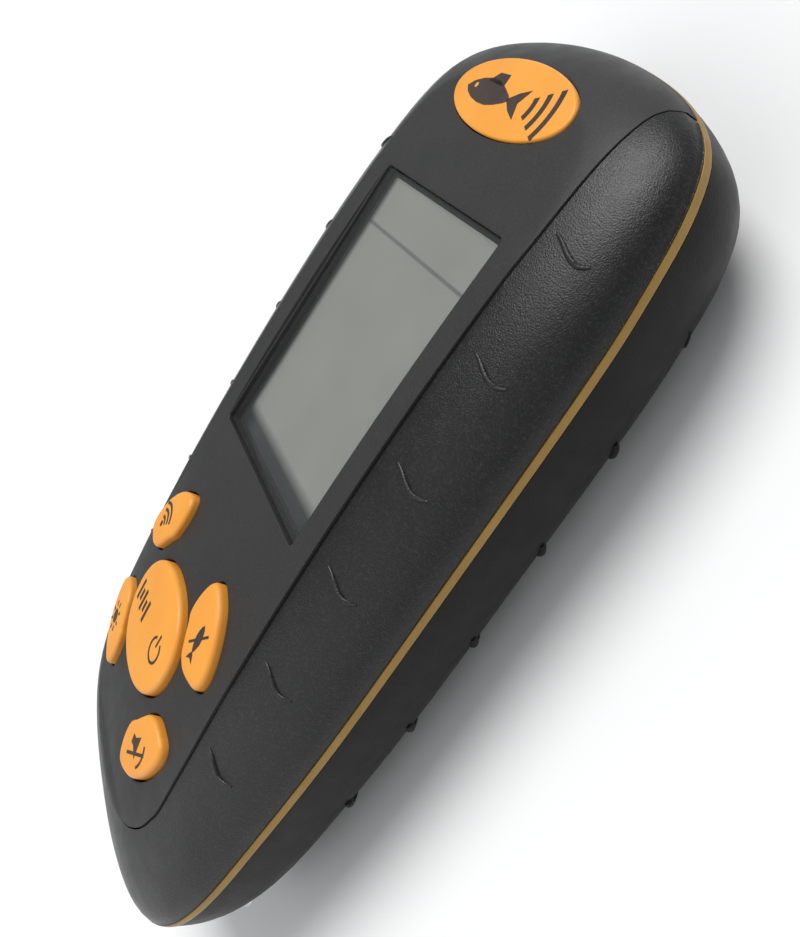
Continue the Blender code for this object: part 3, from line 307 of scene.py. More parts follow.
def linked(name, data):
    made = bpy.data.objects.new(name, data)
    bpy.context.scene.collection.objects.link(made)
    return made


def new_object(name, points, faces):
    mesh = bpy.data.meshes.new(name)
    mesh.from_pydata([place(*p) for p in points], [], faces)
    body = bmesh.new()
    body.from_mesh(mesh)
    bmesh.ops.recalc_face_normals(body, faces=body.faces)
    body.to_mesh(mesh)
    body.free()
    return linked(name, mesh)


def combine(target, other, operation):
    step = target.modifiers.new("step", "BOOLEAN")
    step.operation = operation
    step.solver = "EXACT"
    step.object = other
    bpy.context.view_layer.update()
    graph = bpy.context.evaluated_depsgraph_get()
    mesh = bpy.data.meshes.new_from_object(target.evaluated_get(graph))
    target.modifiers.remove(step)
    target.data = mesh
    bpy.data.objects.remove(other, do_unlink=True)
    return target


def cut(target, other):
    return combine(target, other, "DIFFERENCE")


def join(target, other):
    return combine(target, other, "UNION")


def keep(target, other):
    return combine(target, other, "INTERSECT")


def merged(name, parts):
    """One object that holds the meshes of several."""
    points, faces = [], []
    for part in parts:
        start = len(points)
        points += [tuple(v.co) for v in part.data.vertices]
        faces += [tuple(start + i for i in p.vertices) for p in part.data.polygons]
        bpy.data.objects.remove(part, do_unlink=True)
    mesh = bpy.data.meshes.new(name)
    mesh.from_pydata(points, [], faces)
    return linked(name, mesh)


def shade(made, degrees):
    """Smooth shading with edges sharper than this kept sharp."""
    body = bmesh.new()
    body.from_mesh(made.data)
    limit = math.radians(degrees)
    for face in body.faces:
        face.smooth = True
    for edge in body.edges:
        edge.smooth = edge.is_manifold and edge.calc_face_angle(0.0) < limit
    body.to_mesh(made.data)
    body.free()


def finish_piece(made, look, slot, *nodes, body=CASE, degrees=SHARP_DEGREES):
    """Shades a piece, gives it its material and hands it to the frame."""
    shade(made, degrees)
    made.data.materials.clear()
    made.data.materials.append(look)
    if nodes:
        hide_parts(*nodes)
    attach(made, body)


# ---------------------------------------------------------------- lines and surfaces

def catmull(chain, per_span):
    found = []
    for k in range(1, len(chain) - 2):
        p0, p1, p2, p3 = (np.array(chain[k + d]) for d in (-1, 0, 1, 2))
        for t in np.arange(per_span) / per_span:
            found.append(
                0.5 * (2 * p1 + (p2 - p0) * t + (2 * p0 - 5 * p1 + 4 * p2 - p3) * t**2
                       + (3 * p1 - p0 - 3 * p2 + p3) * t**3)
            )
    return found


def spline(points, per_span):
    """Catmull-Rom through the points, ends mirrored so that a half outline meets its twin smoothly."""
    first = (-points[1][0] + 2 * points[0][0], points[1][1])
    last = (-points[-2][0] + 2 * points[-1][0], points[-2][1])
    return [*catmull([first, *points, last], per_span), np.array(points[-1])]


def closed_spline(points, per_span):
    return catmull([points[-1], *points, points[0], points[1]], per_span)


def even(points, count):
    chain = np.array(points)
    steps = np.hypot(*np.diff(chain, axis=0).T)
    along = np.concatenate([[0.0], np.cumsum(steps)])
    wanted = np.linspace(0.0, along[-1], count)
    return np.stack([np.interp(wanted, along, chain[:, 0]), np.interp(wanted, along, chain[:, 1])], 1)


def face_z(y):
    fall = FACE_FALL_TOP if y > FACE_PEAK_Y else FACE_FALL_BOTTOM
    return FACE_PEAK_Z - fall * (y - FACE_PEAK_Y) ** 2


def crowned_z(x, y):
    across = max(1 - (x / KEYPAD_CROWN_REACH) ** 2, 0.0)
    along = max(1 - ((y - KEYS_Y) / KEYPAD_CROWN_REACH) ** 2, 0.0)
    return face_z(y) + KEYPAD_CROWN * across * along


def offset(points, amount):
    """A closed counter-clockwise line moved outwards by amount."""
    chain = np.array(points)
    along = np.roll(chain, -1, axis=0) - np.roll(chain, 1, axis=0)
    along /= np.linalg.norm(along, axis=1)[:, None]
    return chain + amount * np.stack([along[:, 1], -along[:, 0]], 1)


def half_outline(samples):
    return even(spline(OUTLINE, OUTLINE_SPAN), samples)


def full_outline(samples):
    half = half_outline(samples)
    ring = [tuple(p) for p in half] + [(-x, y) for x, y in half[::-1][1:-1]]
    return ring[::-1]


def shrunk(half, side, top, bottom):
    found = []
    for x, y in half:
        end = top if y > MIDDLE_Y else bottom
        found.append((
            x * (1 - side / HALF_WIDTH),
            MIDDLE_Y + (y - MIDDLE_Y) * (1 - end / HALF_LENGTH),
        ))
    return found


def strip(one, two):
    """The faces between two rows of points, where either row may be a single point."""
    if len(one) == 1:
        return [(one[0], two[k], two[k + 1]) for k in range(len(two) - 1)]
    if len(two) == 1:
        return [(one[k], two[0], one[k + 1]) for k in range(len(one) - 1)]
    return [(one[k], two[k], two[k + 1], one[k + 1]) for k in range(len(one) - 1)]


def dome(name, base_z, pulls, angles, height, skin=0.0, cap=None, samples=FINE):
    """A closed solid of stacked outlines from base_z, each pulled in as on an ellipse.

    pulls is how far the last outline is in at the side, the top end and the bottom end. height(y, angle)
    is the surface's z, and cap(x, y), if given, the z of extra points along the rungs of the last ring.
    """
    half = half_outline(samples)
    rings = []
    for angle in angles:
        turn = 1 - math.cos(angle)
        ring = shrunk(half, *(skin + pull * turn for pull in pulls))
        points = [(x, y, height(y, angle) if rings else base_z) for x, y in ring]
        points += [(-x, y, z) for x, y, z in reversed(points[1:-1])]
        rings.append(points)
    count = len(rings[0])
    points = [p for ring in rings for p in ring]
    faces = []
    for k in range(len(rings) - 1):
        for i in range(count):
            j = (i + 1) % count
            faces.append((k * count + i, k * count + j, (k + 1) * count + j, (k + 1) * count + i))
    for start in (0, (len(rings) - 1) * count):
        shares = np.linspace(1, -1, CAP_STEPS)[1:-1] if cap and start else ()
        previous = [start]
        for i in range(1, samples):
            one, two = start + i, start + (count - i) % count
            rung = [one]
            for share in shares if i < samples - 1 else ():
                x, y, _ = points[one]
                rung.append(len(points))
                points.append((x * share, y, cap(x * share, y)))
            if i < samples - 1:
                rung.append(two)
            faces += strip(previous, rung)
            previous = rung
    return new_object(name, points, faces)


def front_angles():
    return [FRONT_LAST_ANGLE * k / FRONT_STEPS for k in range(FRONT_STEPS + 1)]


def grip_height(y, angle, drop=0.0):
    return PARTING_Z + (face_z(y) + GRIP_CROWN - drop - PARTING_Z) * math.sin(angle)


def front_dome(name, skin, base_z, samples=FINE):
    """The grip's surface family, moved in by skin."""
    def height(y, angle):
        return max(grip_height(y, angle, skin), base_z + RING_STEP * (1 + angle))
    pulls = (FRONT_SIDE_IN - skin, FRONT_TOP_IN - skin * 0.5, FRONT_BOTTOM_IN - skin)
    return dome(name, base_z, pulls, front_angles(), height, skin, samples=samples)


def plate_dome(name, base_z):
    """The face plate's surface: level across but for the keypad's crown, and rolled over at the ends."""
    def height(y, angle):
        rise = math.sin(angle) / math.sin(FRONT_LAST_ANGLE)
        return max(PARTING_Z + (face_z(y) - PARTING_Z) * rise, base_z + RING_STEP * (1 + angle))
    pulls = (FRONT_SIDE_IN, FRONT_TOP_IN, FRONT_BOTTOM_IN)
    return dome(name, base_z, pulls, front_angles(), height, cap=crowned_z)


def back_dome(name, skin, top_z, samples=FINE, steps=BACK_STEPS):
    """The back shell's surface, moved in by skin and open upwards."""
    depth = PARTING_Z - REST_Z - skin

    def height(y, angle):
        return min(PARTING_Z - depth * math.sin(angle), top_z - RING_STEP * (1 + angle))
    angles = [math.pi / 2 * k / steps for k in range(steps + 1)]
    pulls = (BACK_SIDE_IN - skin, BACK_TOP_IN - skin * 0.5, BACK_BOTTOM_IN - skin)
    return dome(name, top_z, pulls, angles, height, skin, samples=samples)


def plate_outline(grow=0.0):
    right = [tuple(p) for p in even(spline(PLATE_EDGE, EDGE_SPAN), EDGE_SAMPLES)]
    left = [(-x, y) for x, y in reversed(right[:-1])]
    chain = [*right, *left, (left[-1][0], OUTSIDE_Y), (right[0][0], OUTSIDE_Y)]
    return offset(chain[::-1], grow)


def stacked(name, layers, peak=None):
    """A closed solid from equal-count outlines stacked upwards: layers are (outline, z or z function)."""
    points = []
    count = len(layers[0][0])
    for outline, level in layers:
        for x, y in outline:
            points.append((x, y, level(x, y) if callable(level) else level))
    faces = [tuple(range(count))[::-1]]
    last = (len(layers) - 1) * count
    if peak:
        faces += [(last + i, last + (i + 1) % count, len(points)) for i in range(count)]
        points.append(peak)
    else:
        faces.append(tuple(range(last, last + count)))
    for k in range(len(layers) - 1):
        for i in range(count):
            j = (i + 1) % count
            faces.append((k * count + i, k * count + j, (k + 1) * count + j, (k + 1) * count + i))
    return new_object(name, points, faces)


def prism(name, outline, low, high):
    return stacked(name, ((outline, low), (outline, high)))


def box(name, low, high):
    outline = [(low[0], low[1]), (high[0], low[1]), (high[0], high[1]), (low[0], high[1])]
    return prism(name, outline, low[2], high[2])


def circle(radius, count, centre=(0.0, 0.0)):
    turns = [2 * math.pi * (k + 0.5) / count for k in range(count)]
    return [(centre[0] + radius * math.cos(t), centre[1] + radius * math.sin(t)) for t in turns]


def ellipse(half_x, half_y, centre_y, count, power=2.0):
    found = []
    for k in range(count):
        turn = 2 * math.pi * (k + 0.5) / count
        c, s = math.cos(turn), math.sin(turn)
        found.append((
            half_x * math.copysign(abs(c) ** (2 / power), c),
            centre_y + half_y * math.copysign(abs(s) ** (2 / power), s),
        ))
    return found


def round_rect(half_x, half_y, radius, per_corner=6):
    found = []
    for k, (sx, sy) in enumerate(((1, 1), (-1, 1), (-1, -1), (1, -1))):
        for step in range(per_corner + 1):
            turn = math.pi / 2 * (k + step / per_corner)
            found.append((
                sx * (half_x - radius) + radius * math.cos(turn),
                sy * (half_y - radius) + radius * math.sin(turn),
            ))
    return found


def bar_along_y(name, radius, low_y, high_y, count=48):
    """A round bar along Y at the socket's height."""
    points = []
    for y in (low_y, high_y):
        for k in range(count):
            turn = 2 * math.pi * k / count
            points.append((radius * math.cos(turn), y, SOCKET_Z + radius * math.sin(turn)))
    faces = [tuple(range(count))[::-1], tuple(range(count, 2 * count))]
    faces += [(i, (i + 1) % count, count + (i + 1) % count, count + i) for i in range(count)]
    return new_object(name, points, faces)


# ---------------------------------------------------------------- ridges

def side_x(y):
    half = half_outline(FINE)[::-1]
    return float(np.interp(y, half[:, 1], half[:, 0]))


def front_flank(along, y):
    angle = math.acos(1 - FRONT_RIDGE_IN / FRONT_SIDE_IN) - along / FRONT_FLANK_BEND
    x = side_x(y) - FRONT_SIDE_IN * (1 - math.cos(angle))
    return (x, y, grip_height(y, angle) - FRONT_RIDGE_SINK)


def back_flank(along, y):
    angle = BACK_RIDGE_ANGLE + along / BACK_FLANK_BEND
    x = side_x(y) - BACK_SIDE_IN * (1 - math.cos(angle))
    return (x, y, PARTING_Z - (PARTING_Z - REST_Z) * math.sin(angle) + BACK_RIDGE_SINK)


def tube_along(name, path, radius, sides=10):
    """A solid swept along a path of points, tapered to small ends."""
    path = [Vector(p) for p in path]
    last = len(path) - 1
    points = []
    for k, centre in enumerate(path):
        ahead = (path[min(k + 1, last)] - path[max(k - 1, 0)]).normalized()
        side = ahead.cross(Vector((0.0, 0.0, 1.0))).normalized()
        up = side.cross(ahead)
        share = math.sin(math.pi * (RIDGE_TIP + (1 - 2 * RIDGE_TIP) * k / last)) ** 0.5
        for s in range(sides):
            turn = 2 * math.pi * s / sides
            points.append(centre + radius * share * (math.cos(turn) * side + math.sin(turn) * up))
    faces = [tuple(range(sides))[::-1], tuple(range(last * sides, (last + 1) * sides))]
    for k in range(last):
        for s in range(sides):
            t = (s + 1) % sides
            faces.append((k * sides + s, k * sides + t, (k + 1) * sides + t, (k + 1) * sides + s))
    return new_object(name, [tuple(p) for p in points], faces)


def ridges(surface, first_y, radius, first_radius, count=18):
    """All the ridges of one shell as one object; the first, at the top end, has its own radius."""
    made = []
    for side in (-1, 1):
        for k in range(RIDGE_COUNT):
            y = first_y - k * RIDGE_PITCH
            path = []
            for step in range(count):
                t = step / (count - 1)
                wave = RIDGE_WAVE * math.sin(2 * math.pi * (RIDGE_TURNS * t + RIDGE_PHASE))
                x, at_y, z = surface((t - 0.5) * RIDGE_LENGTH, y + wave)
                path.append((side * x, at_y, z))
            made.append(tube_along("ridge", path, radius if k else first_radius))
    return merged("ridges", made)


# ---------------------------------------------------------------- keys

def key_outline(side_x_sign, side_y_sign, per_span=8):
    middle_y = KEYS_Y - (UPPER_KEYS_DROP if side_y_sign > 0 else LOWER_KEYS_DROP)
    out = 0.0
    if side_x_sign < 0:
        middle_y += LEFT_KEYS_UP
        out = LEFT_KEYS_OUT
    corner = closed_spline(CORNER_KEY, per_span)
    points = [(side_x_sign * (x + out), middle_y + side_y_sign * y) for x, y in corner]
    if side_x_sign * side_y_sign > 0:
        points.reverse()
    return points


KEYS = {
    "centre": ((0.0, KEYS_Y), ellipse(CENTRE_HALF_X, CENTRE_HALF_Y, KEYS_Y, 112, KEY_SQUARENESS)),
    "sonar": ((-STEM_X, UPPER_STEM_Y), key_outline(-1, 1)),
    "fish": ((STEM_X, UPPER_STEM_Y), key_outline(1, 1)),
    "light": ((-STEM_X, LOWER_STEM_Y), key_outline(-1, -1)),
    "sound": ((STEM_X, LOWER_STEM_Y), key_outline(1, -1)),
}


def key_top(x, y):
    return crowned_z(x, y) + KEY_PROUD


def key_layers(outline, centre):
    """Straight wall, quarter-round edge, then the crowned top in rings that close in on the centre."""
    layers = [(outline, KEY_BASE_Z)]
    for step in range(9):
        turn = math.pi / 2 * step / 8
        inset = KEY_ROUND * (1 - math.cos(turn))
        fall = KEY_ROUND * (1 - math.sin(turn))
        layers.append((offset(outline, -inset), lambda x, y, fall=fall: key_top(x, y) - fall))
    rim = np.array(layers[-1][0])
    middle = np.array(centre)
    for share in KEY_RINGS:
        layers.append((middle + (rim - middle) * share, key_top))
    return layers


def build_keys(looks):
    for name, (centre, outline) in KEYS.items():
        key = stacked("keycap_" + name, key_layers(outline, centre), (*centre, key_top(*centre)))
        finish_piece(
            key, looks["orange"], "orange_plastic", "key_" + name, body=f"key_{name}_body", degrees=40.0)
    print_icons(looks["ink"])


# ---------------------------------------------------------------- printed pictograms

def arc(centre, radius, start, end, count=24):
    turns = np.radians(np.linspace(start, end, count))
    return [(centre[0] + radius * math.cos(t), centre[1] + radius * math.sin(t)) for t in turns]


def stroke(line, width):
    """A closed outline round an open line."""
    chain = np.array(line, float)
    along = np.gradient(chain, axis=0)
    along /= np.linalg.norm(along, axis=1)[:, None]
    across = np.stack([-along[:, 1], along[:, 0]], 1) * width / 2
    return [tuple(p) for p in chain + across] + [tuple(p) for p in (chain - across)[::-1]]


def turned(shape, centre, degrees, scale=1.0):
    """A shape drawn about (0, 0), turned, scaled and moved to its centre."""
    turn = math.radians(degrees)
    c, s = math.cos(turn) * scale, math.sin(turn) * scale
    return [(centre[0] + x * c - y * s, centre[1] + x * s + y * c) for x, y in shape]


def drape(name, shape, top, thick=INK):
    """Thin ink: the outline is filled, cut fine and laid on the surface top(x, y)."""
    body = bmesh.new()
    face = body.faces.new([body.verts.new((x, y, 0.0)) for x, y in shape])
    body.normal_update()
    if face.normal.z < 0:
        face.normal_flip()
    bmesh.ops.triangulate(body, faces=body.faces)
    bmesh.ops.subdivide_edges(body, edges=[e for e in body.edges if e.calc_length() > INK_FACET], cuts=1)
    bmesh.ops.triangulate(body, faces=body.faces)
    flat = list(body.faces)
    grown = bmesh.ops.extrude_face_region(body, geom=flat)
    low = {v for v in grown["geom"] if isinstance(v, bmesh.types.BMVert)}
    for vert in body.verts:
        lift = -thick if vert in low else thick
        x, y = vert.co.x, vert.co.y
        vert.co = place(x, y, top(x, y) + lift)
    bmesh.ops.recalc_face_normals(body, faces=body.faces)
    mesh = bpy.data.meshes.new(name)
    body.to_mesh(mesh)
    body.free()
    return linked(name, mesh)


def printed(name, shapes, top, step=0.0):
    """One piece of ink from several shapes. With a step each is thicker than the last, so none coincide."""
    thicks = [INK * (1 + step * k / len(shapes)) for k in range(len(shapes))]
    return merged(name, [drape("ink", shape, top, thick) for shape, thick in zip(shapes, thicks)])


# Symbols drawn about (0, 0): a fish facing left, and a loudspeaker facing right.
FISH_BODY = (
    (-3.2, 0.0), (-2.7, 0.55), (-1.9, 0.95), (-0.9, 1.2), (0.1, 1.15), (1.0, 0.8), (1.9, 0.35), (2.3, 0.0),
    (1.9, -0.35), (1.0, -0.75), (0.1, -1.0), (-0.9, -1.0), (-1.9, -0.8), (-2.7, -0.45),
)
FISH_TAIL = ((2.1, 0.1), (2.9, 0.75), (3.9, 1.25), (3.35, 0.0), (3.9, -1.25), (2.9, -0.75), (2.1, -0.1))
FISH_FIN = ((-1.2, 0.9), (-0.5, 1.75), (0.7, 1.8), (0.8, 0.75))
SPEAKER = ((-1.6, 0.65), (-0.6, 0.65), (0.75, 1.7), (0.75, -1.7), (-0.6, -0.65), (-1.6, -0.65))


def line_between(a, b, count=6):
    return [(a[0] + (b[0] - a[0]) * t, a[1] + (b[1] - a[1]) * t) for t in np.linspace(0, 1, count)]


POWER_AT = (5.5, KEYS_Y - 0.2)
SONAR_AT = (-14.8, UPPER_STEM_Y - 1.8)
KEY_FISH_AT = (13.6, UPPER_STEM_Y - 0.9)
LAMP_AT = (-14.3, LOWER_STEM_Y + 0.8)
SPEAKER_AT = (12.6, LOWER_STEM_Y + 0.2)
UNIT_BARS = ((-8.2, 1.7), (-6.8, 0.9), (-5.4, 1.7), (-4.0, 0.9), (-2.6, 1.7))


def icon_shapes():
    """The outlines on each key: power sign and unit bars, arcs, barred fish, lamp, barred speaker."""
    power_x, power_y = POWER_AT
    fish_turn, fish_size = -80, 0.72
    ray = ((1.6, 0.0), (2.4, 0.0))
    return {
        "centre": [
            stroke(arc(POWER_AT, 1.75, 120, 420), 0.42),
            stroke(line_between((power_x, power_y + 0.5), (power_x, power_y + 2.5), 4), 0.42),
            *[stroke(line_between((x, KEYS_Y - half), (x, KEYS_Y + half), 5), 0.72)
              for x, half in UNIT_BARS],
        ],
        "sonar": [
            *[stroke(arc(SONAR_AT, radius, 35, 125), 0.5) for radius in (1.4, 2.5, 3.6)],
            circle(0.5, 16, (SONAR_AT[0], SONAR_AT[1] + 0.3)),
        ],
        "fish": [
            turned(FISH_BODY, KEY_FISH_AT, fish_turn, fish_size),
            turned(FISH_TAIL, KEY_FISH_AT, fish_turn, fish_size),
            stroke(line_between((12.0, UPPER_STEM_Y - 2.3), (15.2, UPPER_STEM_Y + 1.2)), 0.36),
        ],
        "light": [
            circle(1.15, 24, LAMP_AT),
            *[stroke(line_between(*turned(ray, LAMP_AT, 45 * k), 3), 0.42) for k in range(8)],
        ],
        "sound": [
            turned(SPEAKER, SPEAKER_AT, 8),
            stroke(arc(SPEAKER_AT, 2.9, -35, 40), 0.4),
            stroke(line_between((11.0, LOWER_STEM_Y - 2.6), (15.6, LOWER_STEM_Y + 1.2)), 0.45),
        ],
    }


def print_icons(ink):
    for name, shapes in icon_shapes().items():
        icon = printed(f"print_{name}", shapes, key_top, INK_STEP)
        finish_piece(icon, ink, "orange_plastic", body=f"key_{name}_body", degrees=INK_DEGREES)


def lens_z(y):
    """The lens leans a little, so that it stays just under the domed face from end to end."""
    return LENS_TOP_Z + LENS_TILT * (WINDOW_HALF_Y - y)


def badge_top(x, y):
    return face_z(BADGE_Y) + BADGE_FALL * (y - BADGE_Y) + BADGE_PROUD


def build_badge(looks):
    ring = ellipse(BADGE_HALF_X, BADGE_HALF_Y, BADGE_Y, BADGE_SIDES)
    layers = [(ring, BADGE_BOTTOM_Z)]
    for step in range(7):
        turn = math.pi / 2 * step / 6
        inset = BADGE_ROUND * (1 - math.cos(turn))
        fall = BADGE_ROUND * (1 - math.sin(turn))
        layers.append((offset(ring, -inset), lambda x, y, fall=fall: badge_top(x, y) - fall))
    badge = stacked("badge_plate", layers)
    finish_piece(badge, looks["orange"], "orange_plastic", "name_badge", degrees=40.0)
    fish_x, fish_y = BADGE_FISH_AT
    shapes = [
        [(x * BADGE_FISH_WIDE + fish_x, y * BADGE_FISH_TALL + fish_y) for x, y in shape]
        for shape in (FISH_BODY, FISH_TAIL, FISH_FIN)]
    shapes += [stroke(arc(BADGE_WAVES_AT, radius, -24, 24), BADGE_WAVE_WIDTH) for radius in BADGE_WAVES]
    fish = printed("print_badge", shapes, badge_top)
    finish_piece(fish, looks["ink"], "orange_plastic", degrees=INK_DEGREES)
    eye = circle(BADGE_EYE_RADIUS, 14, BADGE_EYE_AT)
    dot = drape("print_badge_eye", eye, lambda x, y: badge_top(x, y) + EYE_PROUD)
    finish_piece(dot, looks["orange"], "orange_plastic", degrees=INK_DEGREES)


# ---------------------------------------------------------------- shells

def rounded_well(outline, surface, radius, low):
    """A cutter whose mouth flares out with a round edge at the surface."""
    layers = [(outline, low)]
    for step in range(5):
        turn = math.pi / 2 * step / 4
        grow = radius * (1 - math.cos(turn))
        fall = radius * (1 - math.sin(turn))
        layers.append((offset(outline, grow), lambda x, y, fall=fall: surface(x, y) - fall))
    layers.append((offset(outline, radius + WELL_FLARE), lambda x, y: surface(x, y) + WELL_ABOVE))
    return stacked("well", layers)


def window_floor(x, y):
    """The ledge that the lens rests over."""
    return lens_z(y) - LENS_THICK - LEDGE_DROP


def build_plate(looks):
    plate = plate_dome("face_plate", FRONT_BASE_Z)
    keep(plate, prism("area", plate_outline(), FRONT_BASE_Z - 5.0, OUTER_Z))
    inner = front_dome("inner", FRONT_SKIN, FRONT_BASE_Z - 3.0, COARSE)
    floor = box(
        "floor", (-KEY_FLOOR_HALF_X, KEY_FLOOR_LOW_Y, FRONT_BASE_Z - 4.0),
        (KEY_FLOOR_HALF_X, KEY_FLOOR_HIGH_Y, KEY_FLOOR_Z))
    cut(plate, join(inner, floor))
    pad_x, pad_y = WINDOW_HALF_X + PAD_MARGIN, WINDOW_HALF_Y + PAD_MARGIN
    join(plate, box("pad", (-pad_x, -pad_y, PAD_BOTTOM_Z), (pad_x, pad_y, PAD_TOP_Z)))
    window = round_rect(WINDOW_HALF_X, WINDOW_HALF_Y, WINDOW_CORNER)
    cut(plate, rounded_well(window, lambda x, y: face_z(y), WINDOW_ROUND, window_floor))
    opening = round_rect(WINDOW_HALF_X - LEDGE_WIDTH, WINDOW_HALF_Y - LEDGE_WIDTH, OPENING_CORNER)
    cut(plate, prism("opening", opening, THROUGH_LOW_Z, THROUGH_HIGH_Z))
    seat = ellipse(BADGE_HALF_X + BADGE_CLEAR, BADGE_HALF_Y + BADGE_CLEAR, BADGE_Y, BADGE_SIDES)
    cut(plate, prism("badge_seat", seat, BADGE_SEAT_Z, THROUGH_HIGH_Z))
    for _, outline in KEYS.values():
        cut(plate, rounded_well(offset(outline, KEY_CLEAR), crowned_z, KEY_WELL_ROUND, THROUGH_LOW_Z))
    finish_piece(plate, looks["plate"], "plate_black", "front_housing")


def build_grips(looks):
    grip = front_dome("grips", 0.0, FRONT_BASE_Z + 0.1)
    cut(grip, front_dome("inside", GRIP_THICK, FRONT_BASE_Z - 2.0, COARSE))
    join(grip, ridges(front_flank, FRONT_RIDGE_FIRST_Y, RIDGE_RADIUS, RIDGE_RADIUS))
    cut(grip, prism("area", plate_outline(GROOVE), FRONT_BASE_Z - 5.0, OUTER_Z))
    finish_piece(grip, looks["grip"], "grip_rubber", "grip_overmould")


def build_band(looks):
    ring = full_outline(FINE)
    low, high = PARTING_Z - BAND_HEIGHT / 2, PARTING_Z + BAND_HEIGHT / 2
    layers = []
    for step in range(9):
        turn = math.pi * (step / 8 - 0.5)
        layers.append((
            offset(ring, BAND_PROUD - BAND_BULGE * (1 - math.cos(turn) ** 0.5)),
            (low + high) / 2 + (high - low) / 2 * math.sin(turn),
        ))
    band = stacked("gold_ring", layers)
    cut(band, prism("inside", offset(ring, -BAND_DEPTH), low - 3.0, high + 3.0))
    finish_piece(band, looks["gold"], "gold_band", "trim_band", degrees=50.0)


def build_back(looks):
    shell = back_dome("back_shell", 0.0, BACK_TOP_Z)
    join(shell, ridges(back_flank, BACK_RIDGE_FIRST_Y, BACK_RIDGE_RADIUS, FIRST_BACK_RIDGE_RADIUS))
    cavity = back_dome("cavity", BACK_WALL, BACK_TOP_Z + 3.0, COARSE, CAVITY_STEPS)
    solid = box(
        "bay_block", (-BAY_HALF_X - BAY_WALL, BAY_BOTTOM_Y - BAY_END_WALL, BELOW_Z),
        (BAY_HALF_X + BAY_WALL, BAY_TOP_Y + BAY_END_WALL, BAY_ROOF_Z + BAY_ROOF_THICK))
    join(solid, box(
        "end_block", (-BAY_HALF_X - BAY_WALL + 0.2, -FAR_Y - 2.0, BELOW_Z - 1.0),
        (BAY_HALF_X + BAY_WALL - 0.2, BAY_BOTTOM_Y, DOOR_END_Z + 2.0)))
    for x, y in CASE_SCREWS:
        join(solid, prism("screw_post", circle(CASE_SEAT_RADIUS, 32, (x, y)), BELOW_Z - 2.0, POST_TOP_Z))
    cut(cavity, solid)
    cut(cavity, bar_along_y("boss", SOCKET_BOSS_RADIUS, SOCKET_BOSS_Y, OUTSIDE_Y))
    cut(shell, cavity)
    for x, y in CASE_SCREWS:
        cut(shell, prism("shank_hole", circle(CASE_SHANK_HOLE, 24, (x, y)), BELOW_Z, POST_TOP_Z + 0.8))
        cut(shell, prism("head_hole", circle(CASE_HEAD_HOLE, 40, (x, y)), BELOW_Z, SCREW_HEAD_Z))
    cut(shell, box("bay", (-BAY_HALF_X, BAY_BOTTOM_Y, BELOW_Z), (BAY_HALF_X, BAY_TOP_Y, BAY_ROOF_Z)))
    rail = box(
        "rail", (-BAY_HALF_X - RAIL_OUT - RAIL_CLEAR, -FAR_Y, RAIL_BOTTOM_Z - DOOR_GAP),
        (BAY_HALF_X + RAIL_OUT + RAIL_CLEAR, BAY_TOP_Y - 0.5, RAIL_TOP_Z + DOOR_GAP))
    end = box("end", (-BAY_HALF_X, -FAR_Y - 1.0, BELOW_Z), (BAY_HALF_X, BAY_BOTTOM_Y + 1.0, DOOR_END_Z))
    cut(shell, join(rail, end))
    cut(shell, bar_along_y("seat", SOCKET_FLANGE_RADIUS + 0.3, SOCKET_SEAT_Y, OUTSIDE_Y))
    cut(shell, bar_along_y("hole", SOCKET_BODY_RADIUS + 0.2, SOCKET_SEAT_Y - 10.0, 50.0))
    finish_piece(shell, looks["back"], "back_black", "back_housing")


def build_door(looks):
    door = back_dome("door_panel", 0.0, BACK_TOP_Z - 2.0)
    half = BAY_HALF_X - DOOR_GAP
    keep(door, box("area", (-half, -FAR_Y, BELOW_Z), (half, BAY_TOP_Y - DOOR_GAP, DOOR_END_Z - DOOR_GAP)))
    web = half - DOOR_WEB
    start_y = BAY_BOTTOM_Y - DOOR_GAP
    cut(door, box("hollow", (-web, start_y, DOOR_INNER_Z), (web, 10.0, -10.0)))
    cut(door, box("over_rails", (-40.0, start_y, RAIL_TOP_Z), (40.0, 10.0, -10.0)))
    for side in (-1, 1):
        low, high = sorted((side * (half - 0.8), side * (half + RAIL_OUT)))
        join(door, box(
            "rail", (low, BAY_BOTTOM_Y + 2.0, RAIL_BOTTOM_Z), (high, BAY_TOP_Y - 1.5, RAIL_TOP_Z - 0.05)))
    groove = round_rect(THUMB_HALF_X, THUMB_HALF_Y, THUMB_ROUND, 5)
    for k in range(THUMB_GROOVES):
        y = BAY_TOP_Y - THUMB_FIRST - THUMB_PITCH * k
        cut(door, prism("thumb", [(gx, gy + y) for gx, gy in groove], REST_Z - 1.0, REST_Z + THUMB_DEEP))
    finish_piece(door, looks["back"], "back_black", "battery_door", body="battery_door_body")


def build_display(looks):
    window = round_rect(WINDOW_HALF_X - LENS_CLEAR, WINDOW_HALF_Y - LENS_CLEAR, WINDOW_CORNER)
    layers = [(window, lambda x, y: lens_z(y) - LENS_THICK)]
    for inset, fall in LENS_EDGE:
        layers.append((offset(window, -inset), lambda x, y, fall=fall: lens_z(y) - fall))
    lens = stacked("window_lens", layers)
    finish_piece(lens, looks["lens"], "lens_clear", "display_lens", degrees=25.0)


# ---------------------------------------------------------------- materials

def tree_of(name):
    made = bpy.data.materials.new(name)
    made.use_nodes = True
    nodes, links = made.node_tree.nodes, made.node_tree.links
    shader = nodes["Principled BSDF"]
    where = nodes.new("ShaderNodeTexCoord")
    return made, nodes, links, shader, where.outputs["Object"]


def noise(nodes, links, where, size_mm, detail=2.0, roughness=0.5):
    made = nodes.new("ShaderNodeTexNoise")
    made.inputs["Scale"].default_value = 1.0 / (size_mm * MM)
    made.inputs["Detail"].default_value = detail
    made.inputs["Roughness"].default_value = roughness
    links.new(where, made.inputs["Vector"])
    return made.outputs["Fac"]


